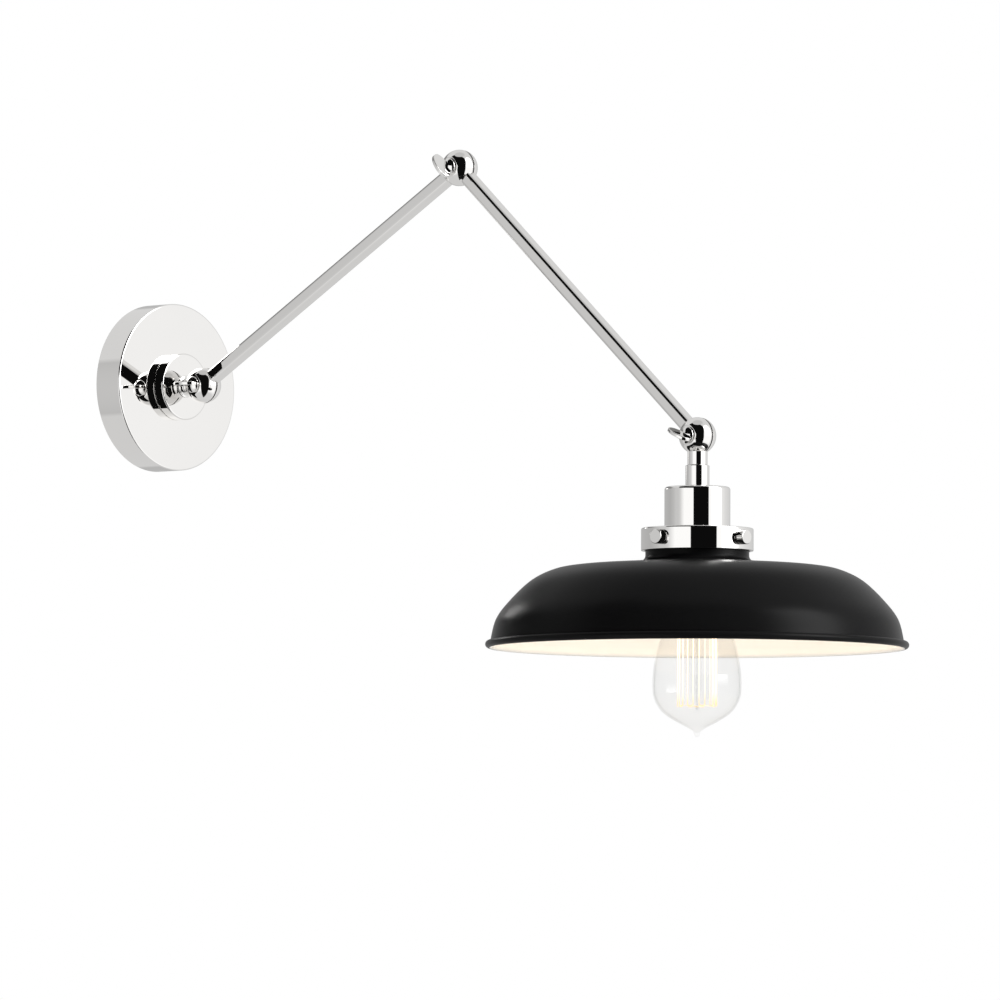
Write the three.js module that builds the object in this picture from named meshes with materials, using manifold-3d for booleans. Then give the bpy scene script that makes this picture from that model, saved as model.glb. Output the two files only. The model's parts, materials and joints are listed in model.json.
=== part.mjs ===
// Swing arm wall sconce: a round wall canopy, a swivelling hub, two square-tube arms joined by three
// ball knuckles with wing keys, and a dome shade on a collar over a clear bulb.
//
// Frame: millimetres, +Z up. The wall is the plane y = 0, the light reaches out along -Y, and the
// origin is the centre of the canopy's back rim. The pivots of the three knuckles lie along X, with
// their wing keys on the -X side.

import * as THREE from "three";
import { mergeVertices } from "three/addons/utils/BufferGeometryUtils.js";
import Module from "manifold-3d";

const wasm = await Module();
wasm.setup();

// ---------------------------------------------------------------- driving dimensions

const gap = 0.3; // clearance between pieces that touch on the real object

// wall canopy and what it covers
const canopyRadius = 63.5;
const canopyDepth = 24;
const canopyWall = 1.5;
const canopyEdge = 1.1; // rounding of the front edge
const crossbarWidth = 20;
const crossbarThickness = 2.5;
const crossbarTab = 13; // depth of the tabs that the canopy is screwed to
const crossbarInset = 2.5; // between the tabs and the canopy's wall
const crossbarWireHole = 6.4; // radius of the hole that the house wires come through
const boxScrewSpacing = 83.3;
const boxSlotLength = 12;
const boxSlotWidth = 5;
const canopyScrewRadius = 2;
const groundScrewHead = 4.6;
const groundScrewHeight = 3;
const groundScrewOffset = 20; // from the canopy's axis, downwards
const wireNutRadius = 4.6;
const wireNutLength = 15;
const wireNutOffset = 32; // from the canopy's axis, sideways
const wireNutSpread = 20; // from the canopy's axis, up and down
const supplyLeadRadius = 1.2;

// swivelling hub
const hubRadius = 25.3;
const hubThickness = 8.5;
const hubEdge = 1.2;
const sleeveRadius = 8;
const sleeveLength = 8;
const hubNutRadius = 13;
const hubNutHeight = 4.2;
const frictionWasherThickness = 0.8;
const neckWaist = 5.5;
const neckFlare = 8.4;
const wallPivotReach = 51.5; // from the wall to the first pivot

// knuckles
const ballRadius = 13.5;
const pocketRadius = 9.5; // hollow inside the ball, where the leads cross the joint
const seamWidth = 1.6; // between the two halves of a ball
const seamOffset = 1; // the seam lies this far to the +X side of the ball's centre
const poleFlat = 11.3; // distance of the flat that the key's boss bears on
const studRadius = 2.4;
const bossRadius = 6.2;
const bossLength = 3.8;
const paddleReach = 20.3; // centre of the paddle from the ball's centre
const paddleLength = 20;
const paddleWidth = 14;
const paddleThickness = 2.5;

// arms: their lengths are from pivot to pivot
const armSide = 10.2;
const armCorner = 2.7;
const armWall = 1.3;
const lowerArmLength = 300;
const lowerArmRise = 29.7; // degrees above level
const outerArmLength = 312;
const outerArmFall = 42.1; // degrees below level
const spigotLength = 14;
const leadRadius = 1.6;

// turn of each wing key about its pivot, degrees
const wallKeyTurn = 0;
const elbowKeyTurn = 58;
const shadeKeyTurn = 27;

// stem, socket cup and collar: depths are measured down from the last pivot
const stemRadius = 7.3;
const stemDepth = 21;
const couplerRadius = 8.8;
const couplerDepth = 36.5;
const cupRadius = 24.1;
const cupDepth = 66.7;
const cupWall = 1.2;
const cupEdge = 2;
const spigotRadius = 4.8; // threaded end of the stem
const nutHeight = 4;
const collarRadius = 40.5;
const collarHeight = 16.4;
const collarWall = 2.3;
const collarPlate = 2;
const collarScrewHead = 5.3;
const collarScrewHeadLength = 5.9;
const collarScrewShank = 2;
const socketRadius = 17.5;
const socketSkirtDepth = 96; // where the socket's skirt ends

// shade
const shadeRadius = 152.4;
const shadeHeight = 153.3; // from the last pivot to the lowest point of the rim
const shadeWall = 1;
const shadeNeckRadius = 37.4;
const shadeCrownDepth = 90.4;
const neckFillet = 4;
const rimBead = 2.7; // radius of the rolled rim

// bulb
const capRadius = 12.7;
const capTopDepth = 73.5;
const capLength = 25;
const capWall = 0.6;
const bulbRadius = 31.9;
const bulbWidestDepth = 181;
const bulbTipDepth = 217;
const bulbNeckRadius = 15;
const glassWall = 0.9;
const cageRadius = 14.5;
const cageTopDepth = 110;
const cageBottomDepth = 193;
const cageStrands = 10;
const filamentRadius = 0.4;

// facets of the round shapes
const fine = 32;
const medium = 18;
const coarse = 12;

// ---------------------------------------------------------------- materials

function finish(name, color, roughness, metalness, opacity = 1) {
  return new THREE.MeshStandardMaterial({
    name,
    color,
    roughness,
    metalness,
    opacity,
    transparent: opacity < 1,
  });
}

const nickel = finish("polished nickel", 0xcfccc6, 0.06, 1);
const zinc = finish("zinc-plated steel", 0xa9adb0, 0.35, 1);
const brass = finish("brass", 0xc8a45a, 0.3, 1);
const blackPaint = finish("satin black enamel", 0x151515, 0.55, 0);
const blackNylon = finish("black nylon", 0x101010, 0.6, 0);
const porcelain = finish("porcelain", 0xe9e6df, 0.35, 0);
const clearGlass = finish("clear glass", 0xf4f0e6, 0.02, 0, 0.35);
const filamentWire = finish("glowing filament", 0xffb066, 0.5, 0.4);
const leadCover = finish("lead insulation", 0x26221f, 0.6, 0);
const nutCover = finish("wire connector", 0xc8641e, 0.5, 0);
const greenScrew = finish("green ground screw", 0x2d7a3c, 0.4, 1);

// ---------------------------------------------------------------- shape helpers

// A closed geometry as a solid that can be joined and cut.
function solid(geometry) {
  const bare = geometry.clone();
  bare.deleteAttribute("normal");
  bare.deleteAttribute("uv");
  const merged = mergeVertices(bare, 1e-4);
  const source = merged.index.array;
  const kept = [];
  for (let i = 0; i < source.length; i += 3) {
    const [a, b, c] = [source[i], source[i + 1], source[i + 2]];
    if (a !== b && b !== c && c !== a) kept.push(a, b, c);
  }
  return new wasm.Manifold(
    new wasm.Mesh({
      numProp: 3,
      vertProperties: merged.attributes.position.array,
      triVerts: new Uint32Array(kept),
    }),
  );
}

function geometryOf(made) {
  const mesh = made.getMesh();
  const geometry = new THREE.BufferGeometry();
  geometry.setAttribute("position", new THREE.BufferAttribute(mesh.vertProperties, 3));
  geometry.setIndex(new THREE.BufferAttribute(mesh.triVerts, 1));
  geometry.computeVertexNormals();
  return geometry;
}

// Profile points are [radius, height], going up the outside; the shape is turned about +Z.
function turned(points, sides) {
  const profile = points.map(([r, h]) => new THREE.Vector2(r, h));
  return new THREE.LatheGeometry(profile, sides).rotateX(Math.PI / 2);
}

// A ring or tube about +Z whose profile closes on itself.
function ring(points, sides) {
  return turned([...points, points[0]], sides);
}

function rod(radius, from, to, sides) {
  return turned([[0, from], [radius, from], [radius, to], [0, to]], sides);
}

function sleeve(inner, outer, from, to, sides) {
  return ring([[inner, from], [outer, from], [outer, to], [inner, to]], sides);
}

function block(width, depth, height, x = 0, y = 0, z = 0) {
  return new THREE.BoxGeometry(width, depth, height).translate(x, y, z);
}

// Points [radius, height] of an arc about (r0, h0), from one angle to another in degrees.
function arc(r0, h0, radius, from, to, steps) {
  return Array.from({ length: steps + 1 }, (_, i) => {
    const angle = THREE.MathUtils.degToRad(from + ((to - from) * i) / steps);
    return [r0 + radius * Math.cos(angle), h0 + radius * Math.sin(angle)];
  });
}

// A smooth curve through [radius, height] points.
function smooth(points, steps) {
  const curve = new THREE.SplineCurve(points.map(([r, h]) => new THREE.Vector2(r, h)));
  return curve.getPoints(steps).map((p) => [p.x, p.y]);
}

// The same outline moved sideways by an amount, to the left of its direction of travel.
function offset(points, amount) {
  return points.map(([r, h], i) => {
    const [r0, h0] = points[Math.max(i - 1, 0)];
    const [r1, h1] = points[Math.min(i + 1, points.length - 1)];
    const length = Math.hypot(r1 - r0, h1 - h0);
    return [r - (amount * (h1 - h0)) / length, h + (amount * (r1 - r0)) / length];
  });
}

function roundedSquare(side, corner) {
  const half = side / 2;
  const flat = half - corner;
  const outline = new THREE.Path();
  outline.moveTo(-flat, -half).lineTo(flat, -half);
  outline.absarc(flat, -flat, corner, -Math.PI / 2, 0).lineTo(half, flat);
  outline.absarc(flat, flat, corner, 0, Math.PI / 2).lineTo(-flat, half);
  outline.absarc(-flat, flat, corner, Math.PI / 2, Math.PI).lineTo(-half, -flat);
  outline.absarc(-flat, -flat, corner, Math.PI, 1.5 * Math.PI);
  return outline.getPoints(4);
}

// A straight bar or tube along +Z from one height to another.
function extruded(outline, hole, from, to) {
  const shape = new THREE.Shape(outline);
  if (hole) shape.holes.push(new THREE.Path(hole));
  const settings = { depth: to - from, bevelEnabled: false, curveSegments: 4 };
  return new THREE.ExtrudeGeometry(shape, settings).translate(0, 0, from);
}

// A round wire along a smooth path of [x, y, z] points.
function wire(points, radius, sides, steps, closed = false) {
  const path = new THREE.CatmullRomCurve3(points.map((p) => new THREE.Vector3(...p)), closed);
  const section = new THREE.Shape();
  section.absarc(0, 0, radius, 0, 2 * Math.PI);
  const outline = new THREE.Shape(section.getPoints(sides).slice(0, sides));
  return new THREE.ExtrudeGeometry(outline, { extrudePath: path, steps });
}

function alongX(geometry) {
  return geometry.rotateY(Math.PI / 2);
}

function hexagon(acrossCorners) {
  return Array.from({ length: 6 }, (_, i) => {
    const angle = (i * Math.PI) / 3;
    return new THREE.Vector2(acrossCorners * Math.cos(angle), acrossCorners * Math.sin(angle));
  });
}

function circle(radius, sides) {
  return Array.from({ length: sides }, (_, i) => {
    const angle = (i * 2 * Math.PI) / sides;
    return new THREE.Vector2(radius * Math.cos(angle), radius * Math.sin(angle));
  });
}

function hexNut(acrossCorners, hole, from, to) {
  return extruded(hexagon(acrossCorners), circle(hole, coarse), from, to);
}

function piece(parent, name, material, shape) {
  const geometry = shape.isBufferGeometry ? shape : geometryOf(shape);
  const mesh = new THREE.Mesh(geometry, material);
  mesh.name = name;
  parent.add(mesh);
}

// ---------------------------------------------------------------- frames
// Each section of the light has its own frame: local +Z runs along the section, away from the wall
// or down the stem, and local X is the world's X.

const sconce = new THREE.Group();

function section(parent, turnDegrees, y = 0, z = 0) {
  const group = new THREE.Group();
  group.rotation.x = THREE.MathUtils.degToRad(turnDegrees);
  group.position.set(0, y, z);
  parent.add(group);
  return group;
}

const rise = THREE.MathUtils.degToRad(lowerArmRise);
const fall = THREE.MathUtils.degToRad(outerArmFall);
const elbowY = -wallPivotReach - lowerArmLength * Math.cos(rise);
const elbowZ = lowerArmLength * Math.sin(rise);
const shadePivotY = elbowY - outerArmLength * Math.cos(fall);
const shadePivotZ = elbowZ - outerArmLength * Math.sin(fall);

const wall = section(sconce, 90);
const wallKnuckle = section(sconce, 90, -wallPivotReach);
const lowerArm = section(sconce, 90 - lowerArmRise, -wallPivotReach);
const outerArm = section(sconce, 90 + outerArmFall, elbowY, elbowZ);
const head = section(sconce, 180, shadePivotY, shadePivotZ);

// ---------------------------------------------------------------- canopy and wiring

const hubBack = canopyDepth + gap;
const hubFront = hubBack + hubThickness;
const neckBore = spigotRadius + gap;
const sleeveEnd = hubBack - sleeveLength;
const canopyInner = canopyRadius - canopyWall;
const canopyFloor = canopyDepth - canopyWall;
const screwHeight = crossbarTab / 2 + 1; // of the canopy's side screws above the wall

function makeCanopy() {
  const flat = canopyRadius - canopyEdge;
  const shell = solid(
    ring(
      [
        [canopyInner, 0],
        [canopyRadius, 0],
        ...arc(flat, canopyDepth - canopyEdge, canopyEdge, 0, 90, 4),
        [sleeveRadius + gap, canopyDepth],
        [sleeveRadius + gap, canopyFloor],
        [canopyInner - canopyWall, canopyFloor],
        [canopyInner, canopyFloor - canopyWall],
      ],
      fine,
    ),
  );
  const hole = rod(canopyScrewRadius + gap, -canopyRadius - 1, canopyRadius + 1, coarse);
  return shell.subtract(solid(hole.rotateX(Math.PI / 2).translate(0, 0, screwHeight)));
}

const tabOuter = canopyInner - crossbarInset;
const cutReach = 2 * crossbarThickness; // cutting shapes pass this far through the bar

function makeCrossbar() {
  const cut = (radius, sides) => rod(radius, -cutReach, cutReach, sides);
  let made = solid(block(crossbarWidth, 2 * tabOuter, crossbarThickness, 0, 0, crossbarThickness / 2));
  for (const side of [-1, 1]) {
    const tabY = side * (tabOuter - crossbarThickness / 2);
    const tab = block(crossbarWidth, crossbarThickness, crossbarTab, 0, tabY, crossbarTab / 2);
    made = made.add(solid(tab));
    const slotY = (side * boxScrewSpacing) / 2;
    const run = boxSlotLength - boxSlotWidth;
    const slot = solid(block(boxSlotWidth, run, 2 * cutReach, 0, slotY));
    const end = solid(cut(boxSlotWidth / 2, coarse).translate(0, slotY - run / 2, 0));
    made = made.subtract(slot.add(end).add(end.translate([0, run, 0])));
  }
  const wireHole = solid(cut(crossbarWireHole, medium));
  const ground = solid(cut(canopyScrewRadius + gap, coarse).translate(0, -groundScrewOffset, 0));
  const side = rod(canopyScrewRadius + gap, -canopyRadius, canopyRadius, coarse);
  const sideHole = solid(side.rotateX(Math.PI / 2).translate(0, 0, screwHeight));
  return made.subtract(wireHole).subtract(ground).subtract(sideHole);
}

function makeCanopyScrew(side) {
  const screw = rod(canopyScrewRadius, tabOuter - 4, canopyRadius - gap, coarse);
  return screw.rotateX((-side * Math.PI) / 2).translate(0, 0, screwHeight);
}

function makeGroundScrew() {
  const seat = crossbarThickness + gap;
  const shank = solid(rod(canopyScrewRadius, 0.4, seat + 1, coarse));
  const hexHead = solid(extruded(hexagon(groundScrewHead), null, seat, seat + groundScrewHeight));
  return shank.add(hexHead).translate([0, -groundScrewOffset, 0]);
}

// The connectors stand on their closed ends, their mouths towards the hub.
const wireNutSeat = crossbarThickness + 1;

function makeWireNut(side) {
  const bore = supplyLeadRadius + 2 * gap;
  const outline = [
    [0, wireNutSeat],
    [wireNutRadius * 0.6, wireNutSeat],
    [wireNutRadius, wireNutSeat + wireNutLength * 0.7],
    [wireNutRadius, wireNutSeat + wireNutLength * 0.9],
    [bore, wireNutSeat + wireNutLength * 0.9],
    [bore, wireNutSeat + wireNutLength * 0.5],
    [0, wireNutSeat + wireNutLength * 0.5],
  ];
  return turned(outline, coarse).translate(wireNutOffset, side * wireNutSpread, 0);
}

function makeSupplyLead(side) {
  const mouth = wireNutSeat + wireNutLength * 0.5 + gap;
  const top = wireNutSeat + wireNutLength * 0.9;
  const route = [
    [wireNutOffset, side * wireNutSpread, mouth],
    [wireNutOffset, side * wireNutSpread, top],
    [wireNutOffset - 3.5, side * (wireNutSpread - 1.5), top + 2],
    [wireNutOffset - 12, side * 12, top - 1],
    [10, side * 4, top - 7],
    [3, side * 2, top - 6],
    [0.5, side * 1.9, sleeveEnd + 1],
  ];
  return wire(route, supplyLeadRadius, 6, 14);
}

piece(wall, "canopy", nickel, makeCanopy());
piece(wall, "crossbar", zinc, makeCrossbar());
piece(wall, "canopy_screw_top", nickel, makeCanopyScrew(1));
piece(wall, "canopy_screw_bottom", nickel, makeCanopyScrew(-1));
piece(wall, "ground_screw", greenScrew, makeGroundScrew());
piece(wall, "wire_nut_live", nutCover, makeWireNut(1));
piece(wall, "wire_nut_neutral", nutCover, makeWireNut(-1));
piece(wall, "supply_lead_live", leadCover, makeSupplyLead(1));
piece(wall, "supply_lead_neutral", leadCover, makeSupplyLead(-1));

const washerTop = canopyFloor - gap;
const washerBottom = washerTop - frictionWasherThickness;
piece(
  wall,
  "friction_washer",
  zinc,
  sleeve(sleeveRadius + gap, hubNutRadius - 1, washerBottom, washerTop, medium),
);

// ---------------------------------------------------------------- hub

function makeHub() {
  const rim = hubRadius - hubEdge;
  return ring(
    [
      [neckBore, sleeveEnd],
      [sleeveRadius, sleeveEnd],
      [sleeveRadius, hubBack],
      [hubRadius, hubBack],
      ...arc(rim, hubFront - hubEdge, hubEdge, 0, 90, 3),
      [neckBore, hubFront],
    ],
    fine,
  );
}

const nutTop = washerBottom - gap;
piece(wall, "hub_disc", nickel, makeHub());
piece(wall, "hub_nut", brass, hexNut(hubNutRadius, sleeveRadius + gap, nutTop - hubNutHeight, nutTop));

// ---------------------------------------------------------------- knuckles

const nearSeam = seamOffset - seamWidth / 2;
const farSeam = seamOffset + seamWidth / 2;

// Points [radius, x] on a sphere, from one x to another.
function sphereArc(radius, fromX, toX, steps) {
  const angle = (x) => THREE.MathUtils.radToDeg(Math.asin(x / radius));
  return arc(0, 0, radius, angle(fromX), angle(toX), steps);
}

// Half of the ball on the key's side: it has a clear hole for the stud and a flat for the boss.
function nearHalf() {
  const bore = studRadius + gap + 0.2;
  const pocketEnd = -Math.sqrt(pocketRadius ** 2 - bore ** 2);
  return solid(
    alongX(
      ring(
        [
          [bore, -poleFlat],
          ...sphereArc(ballRadius, -poleFlat, nearSeam, 4),
          ...sphereArc(pocketRadius, nearSeam, pocketEnd, 2),
        ],
        medium,
      ),
    ),
  );
}

// Half of the ball on the far side: the stud screws into a blind hole in its pole.
function farHalf() {
  const thread = studRadius + gap;
  const pocketEnd = Math.sqrt(pocketRadius ** 2 - thread ** 2);
  const holeEnd = ballRadius - 1.6;
  const outer = sphereArc(ballRadius, farSeam, ballRadius, 5);
  outer[outer.length - 1] = [0, ballRadius];
  return solid(
    alongX(
      turned(
        [
          [0, holeEnd],
          [thread, holeEnd],
          ...sphereArc(pocketRadius, pocketEnd, farSeam, 2),
          ...outer,
        ],
        medium,
      ),
    ),
  );
}

// The space that the other half of a ball sweeps, beyond the given seam.
function otherHalfSpace(isNear, clearance) {
  const reach = ballRadius + clearance;
  const globe = solid(new THREE.SphereGeometry(reach, medium, coarse));
  const side = 2 * reach;
  const x = isNear ? nearSeam + side / 2 : farSeam - side / 2;
  return globe.intersect(solid(block(side, side, side, x)));
}

// A half ball with what grows out of it along +Z, and a passage for the leads.
function knuckleHalf(isNear, growth, passageEnd, passageRadius) {
  const half = isNear ? nearHalf() : farHalf();
  const passage = solid(rod(passageRadius, pocketRadius - 3, passageEnd, coarse));
  const core = solid(new THREE.SphereGeometry(pocketRadius, medium, coarse));
  const clear = growth.subtract(otherHalfSpace(isNear, 0.5)).subtract(core);
  return half.add(clear).subtract(passage);
}

const tubeInner = armSide - 2 * armWall;
const spigotSide = tubeInner - 2 * gap;
const spigotEnd = ballRadius + spigotLength;

function armHalf(isNear) {
  const outline = roundedSquare(spigotSide, armCorner / 2);
  const spigot = solid(extruded(outline, null, pocketRadius - 1, spigotEnd));
  return knuckleHalf(isNear, spigot, spigotEnd + 1, leadRadius + gap);
}

// The same, turned to face back along an arm from its far pivot.
function armHalfAtEnd(isNear, length) {
  return armHalf(isNear).rotate([180, 0, 0]).translate([0, 0, length]);
}

function armTube(length) {
  const start = ballRadius - 3;
  const outer = roundedSquare(armSide, armCorner);
  const inner = roundedSquare(tubeInner, armCorner / 2).reverse();
  const tube = solid(extruded(outer, inner, start, length - start));
  const globe = solid(new THREE.SphereGeometry(ballRadius + 2 * gap, medium, coarse));
  return tube.subtract(globe).subtract(globe.translate([0, 0, length]));
}

function knuckleWasher() {
  const half = seamWidth / 2 - gap;
  const disc = sleeve(pocketRadius - 2, ballRadius - 0.6, seamOffset - half, seamOffset + half, medium);
  return alongX(disc);
}

// Clamp stud, boss and oval paddle of a wing key; the paddle's length lies along local Y.
function wingKey() {
  const bossStart = -poleFlat - gap;
  const stud = alongX(rod(studRadius, bossStart - 1, ballRadius - 2, coarse));
  const boss = alongX(rod(bossRadius, bossStart - bossLength, bossStart, medium));
  const outline = new THREE.Shape();
  outline.absellipse(0, 0, paddleWidth / 2, paddleLength / 2, 0, 2 * Math.PI);
  const rim = outline.getPoints(10).slice(0, -1);
  const paddle = extruded(rim, null, -paddleThickness / 2, paddleThickness / 2);
  return solid(stud).add(solid(boss)).add(solid(paddle.translate(-paddleReach, 0, 0)));
}

function knuckleKey(name, turnDegrees, y, z) {
  piece(section(sconce, turnDegrees, y, z), name, nickel, wingKey());
}

// ---------------------------------------------------------------- neck and wall knuckle

// The neck grows from the ball back towards the wall, so it is made along +Z and turned round.
function makeNeck() {
  const toHub = wallPivotReach - hubFront - gap;
  const spigotRun = hubThickness - 1;
  const growth = turned(
    [
      [0, pocketRadius - 1],
      [neckWaist + 1.6, pocketRadius - 1],
      [neckWaist + 0.7, ballRadius],
      [neckWaist, (ballRadius + toHub) / 2 + 0.4],
      [neckWaist + 0.5, toHub - 1.2],
      [neckFlare, toHub - 0.5],
      [neckFlare, toHub],
      [spigotRadius, toHub],
      [spigotRadius, toHub + spigotRun],
      [0, toHub + spigotRun],
    ],
    medium,
  );
  const neck = knuckleHalf(true, solid(growth), toHub + spigotRun + 1, leadRadius + gap);
  return neck.rotate([180, 0, 0]);
}

// The leads stop short of the balls, because the stretch inside a ball bends as the knuckle turns.
const leadStart = ballRadius + 2 * gap;

function makeNeckLead() {
  const end = wallPivotReach - hubFront + hubThickness - 2;
  return rod(leadRadius, leadStart, end, 10).rotateX(Math.PI);
}

piece(wallKnuckle, "wall_neck", nickel, makeNeck());
piece(wallKnuckle, "neck_lead", leadCover, makeNeckLead());
piece(wallKnuckle, "wall_knuckle_washer", blackNylon, knuckleWasher());
knuckleKey("wall_key", wallKeyTurn, -wallPivotReach, 0);

// ---------------------------------------------------------------- arms

function armLead(length) {
  return rod(leadRadius, leadStart, length - leadStart, 10);
}

function atEnd(geometry, length) {
  return geometry.translate(0, 0, length);
}

piece(lowerArm, "wall_knuckle_cap", nickel, armHalf(false));
piece(lowerArm, "lower_arm_tube", nickel, armTube(lowerArmLength));
piece(lowerArm, "lower_arm_lead", leadCover, armLead(lowerArmLength));
piece(lowerArm, "elbow_inner_half", nickel, armHalfAtEnd(true, lowerArmLength));
piece(lowerArm, "elbow_washer", blackNylon, atEnd(knuckleWasher(), lowerArmLength));
knuckleKey("elbow_key", elbowKeyTurn, elbowY, elbowZ);

piece(outerArm, "elbow_outer_half", nickel, armHalf(false));
piece(outerArm, "outer_arm_tube", nickel, armTube(outerArmLength));
piece(outerArm, "outer_arm_lead", leadCover, armLead(outerArmLength));
piece(outerArm, "shade_knuckle_cap", nickel, armHalfAtEnd(false, outerArmLength));
piece(outerArm, "shade_knuckle_washer", blackNylon, atEnd(knuckleWasher(), outerArmLength));
knuckleKey("shade_key", shadeKeyTurn, shadePivotY, shadePivotZ);

// ---------------------------------------------------------------- stem, cup and socket

const cupTop = couplerDepth + gap;
const cupFloor = cupTop + cupWall;
const stemNutTop = cupFloor + gap;
const stemNutBottom = stemNutTop + nutHeight;
const stemEnd = stemNutBottom + 1;
const strapTop = stemNutBottom + gap;
const strapBottom = strapTop + 1;
const socketTop = strapBottom + gap + 1;
const contactRadius = 3.5;
const bulbContactDepth = capTopDepth - 2;
const socketFloor = bulbContactDepth - 9;

function makeStem() {
  const growth = turned(
    [
      [0, pocketRadius - 1],
      [stemRadius, pocketRadius - 1],
      [stemRadius, stemDepth],
      [spigotRadius, stemDepth],
      [spigotRadius, stemEnd],
      [0, stemEnd],
    ],
    medium,
  );
  return knuckleHalf(true, solid(growth), stemEnd + 1, leadRadius + gap);
}

function makeCup() {
  const bottom = cupDepth - gap;
  const inner = cupRadius - cupWall;
  return ring(
    [
      [spigotRadius + gap, cupTop],
      ...arc(cupRadius - cupEdge, cupTop + cupEdge, cupEdge, -90, 0, 4),
      [cupRadius, bottom],
      [inner, bottom],
      [inner, cupFloor + 1],
      [inner - 1, cupFloor],
      [spigotRadius + gap, cupFloor],
    ],
    medium,
  );
}

const shellRadius = capRadius + gap + 0.2;
const shellWall = 0.4;
const socketBore = shellRadius + shellWall + gap;

function makeSocket() {
  return turned(
    [
      [0, socketTop],
      [socketRadius, socketTop],
      [socketRadius, socketSkirtDepth],
      [socketBore, socketSkirtDepth],
      [socketBore, socketFloor],
      [0, socketFloor],
    ],
    medium,
  );
}

piece(head, "shade_stem", nickel, makeStem());
piece(head, "stem_lead", leadCover, rod(leadRadius, leadStart, stemEnd - 1, 10));
const couplerBore = spigotRadius + gap;
const couplerTop = stemDepth + gap;
piece(head, "stem_coupler", nickel, sleeve(couplerBore, couplerRadius, couplerTop, couplerDepth, medium));
piece(head, "socket_cup", nickel, makeCup());
piece(head, "stem_nut", brass, hexNut(couplerRadius, couplerBore, stemNutTop, stemNutBottom));
piece(head, "socket_strap", zinc, sleeve(couplerBore + 1, socketRadius - 2, strapTop, strapBottom, medium));
piece(head, "socket_body", porcelain, makeSocket());
const shellTop = socketFloor + 2;
const shellBottom = socketSkirtDepth - 3;
const shellOutside = shellRadius + shellWall;
piece(head, "screw_shell", brass, sleeve(shellRadius, shellOutside, shellTop, shellBottom, medium));
const contactEnd = bulbContactDepth - gap;
piece(head, "socket_contact", brass, rod(contactRadius, socketFloor + gap, contactEnd, coarse));

// ---------------------------------------------------------------- collar and its screws

const collarInner = collarRadius - collarWall;
const collarBottom = cupDepth + collarHeight;
const collarScrewDepth = cupDepth + collarHeight * 0.475;

function makeCollar() {
  const made = solid(
    ring(
      [
        [socketRadius + 0.8, cupDepth],
        [collarRadius - 0.6, cupDepth],
        [collarRadius, cupDepth + 0.6],
        [collarRadius, collarBottom],
        [collarInner, collarBottom],
        [collarInner, cupDepth + collarPlate],
        [socketRadius + 0.8, cupDepth + collarPlate],
      ],
      fine,
    ),
  );
  const across = rod(collarScrewShank + gap, -collarRadius - 1, collarRadius + 1, coarse);
  const hole = solid(across.rotateY(Math.PI / 2).translate(0, 0, collarScrewDepth));
  const core = solid(rod(collarInner - 0.5, cupDepth, collarBottom + 1, fine));
  const holes = hole.add(hole.rotate([0, 0, 90])).subtract(core);
  return made.subtract(holes);
}

// Made along +X, then turned about the stem.
function makeCollarScrew(turnDegrees) {
  const headStart = collarRadius + gap;
  const headEnd = headStart + collarScrewHeadLength;
  const chamfer = 0.5;
  const screw = turned(
    [
      [0, shadeNeckRadius + gap],
      [collarScrewShank, shadeNeckRadius + gap],
      [collarScrewShank, headStart],
      [collarScrewHead - chamfer, headStart],
      [collarScrewHead, headStart + chamfer],
      [collarScrewHead, headEnd - chamfer],
      [collarScrewHead - chamfer, headEnd],
      [0, headEnd],
    ],
    coarse,
  );
  const placed = alongX(screw).translate(0, 0, collarScrewDepth);
  return placed.rotateZ(THREE.MathUtils.degToRad(turnDegrees));
}

piece(head, "shade_collar", nickel, makeCollar());
const screwTurns = { right: 0, front: 90, left: 180, back: 270 };
for (const [place, turn] of Object.entries(screwTurns))
  piece(head, "collar_screw_" + place, nickel, makeCollarScrew(turn));

// ---------------------------------------------------------------- shade

// Outside of the shade, from the top of its neck down to the rolled rim.
function shadeOutline() {
  const drop = shadeHeight - shadeCrownDepth;
  const wide = shadeRadius - rimBead;
  const beadDepth = shadeHeight - rimBead;
  const neckEnd = shadeCrownDepth - neckFillet;
  const fillet = arc(shadeNeckRadius + neckFillet, neckEnd, neckFillet, 180, 100, 2);
  const dome = smooth(
    [
      [shadeNeckRadius + neckFillet, shadeCrownDepth],
      [wide * 0.42, shadeCrownDepth + drop * 0.034],
      [wide * 0.61, shadeCrownDepth + drop * 0.066],
      [wide * 0.707, shadeCrownDepth + drop * 0.117],
      [wide * 0.803, shadeCrownDepth + drop * 0.237],
      [wide * 0.898, shadeCrownDepth + drop * 0.452],
      [wide * 0.966, shadeCrownDepth + drop * 0.668],
      [wide - shadeWall, beadDepth - rimBead],
    ],
    10,
  );
  return { fillet, dome, wide, beadDepth };
}

function makeShade() {
  const { fillet, dome, wide, beadDepth } = shadeOutline();
  const lipTop = cupDepth + collarPlate + gap;
  const lip = collarInner - gap;
  const outside = [[shadeNeckRadius, lipTop + 2.2], ...fillet.slice(0, -1), ...dome];
  const inside = offset(outside, shadeWall).reverse();
  const bead = arc(wide, beadDepth, rimBead, -75, 190, 5);
  const neckTop = [
    [shadeNeckRadius - shadeWall, lipTop],
    [lip, lipTop],
    [lip, lipTop + shadeWall],
  ];
  return ring([...outside, ...bead, ...inside.slice(1), ...neckTop], fine);
}

piece(head, "shade", blackPaint, makeShade());

// ---------------------------------------------------------------- bulb

const capBottom = capTopDepth + capLength;
const insulatorRadius = 4.4;

function makeBulbCap() {
  return ring(
    [
      [insulatorRadius + gap, capTopDepth],
      [insulatorRadius + 1.2, capTopDepth],
      [capRadius, capTopDepth + 3.5],
      [capRadius, capBottom],
      [capRadius - capWall, capBottom],
      [capRadius - capWall, capTopDepth + 4.2],
      [insulatorRadius + gap, capTopDepth + 1.2],
    ],
    medium,
  );
}

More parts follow.
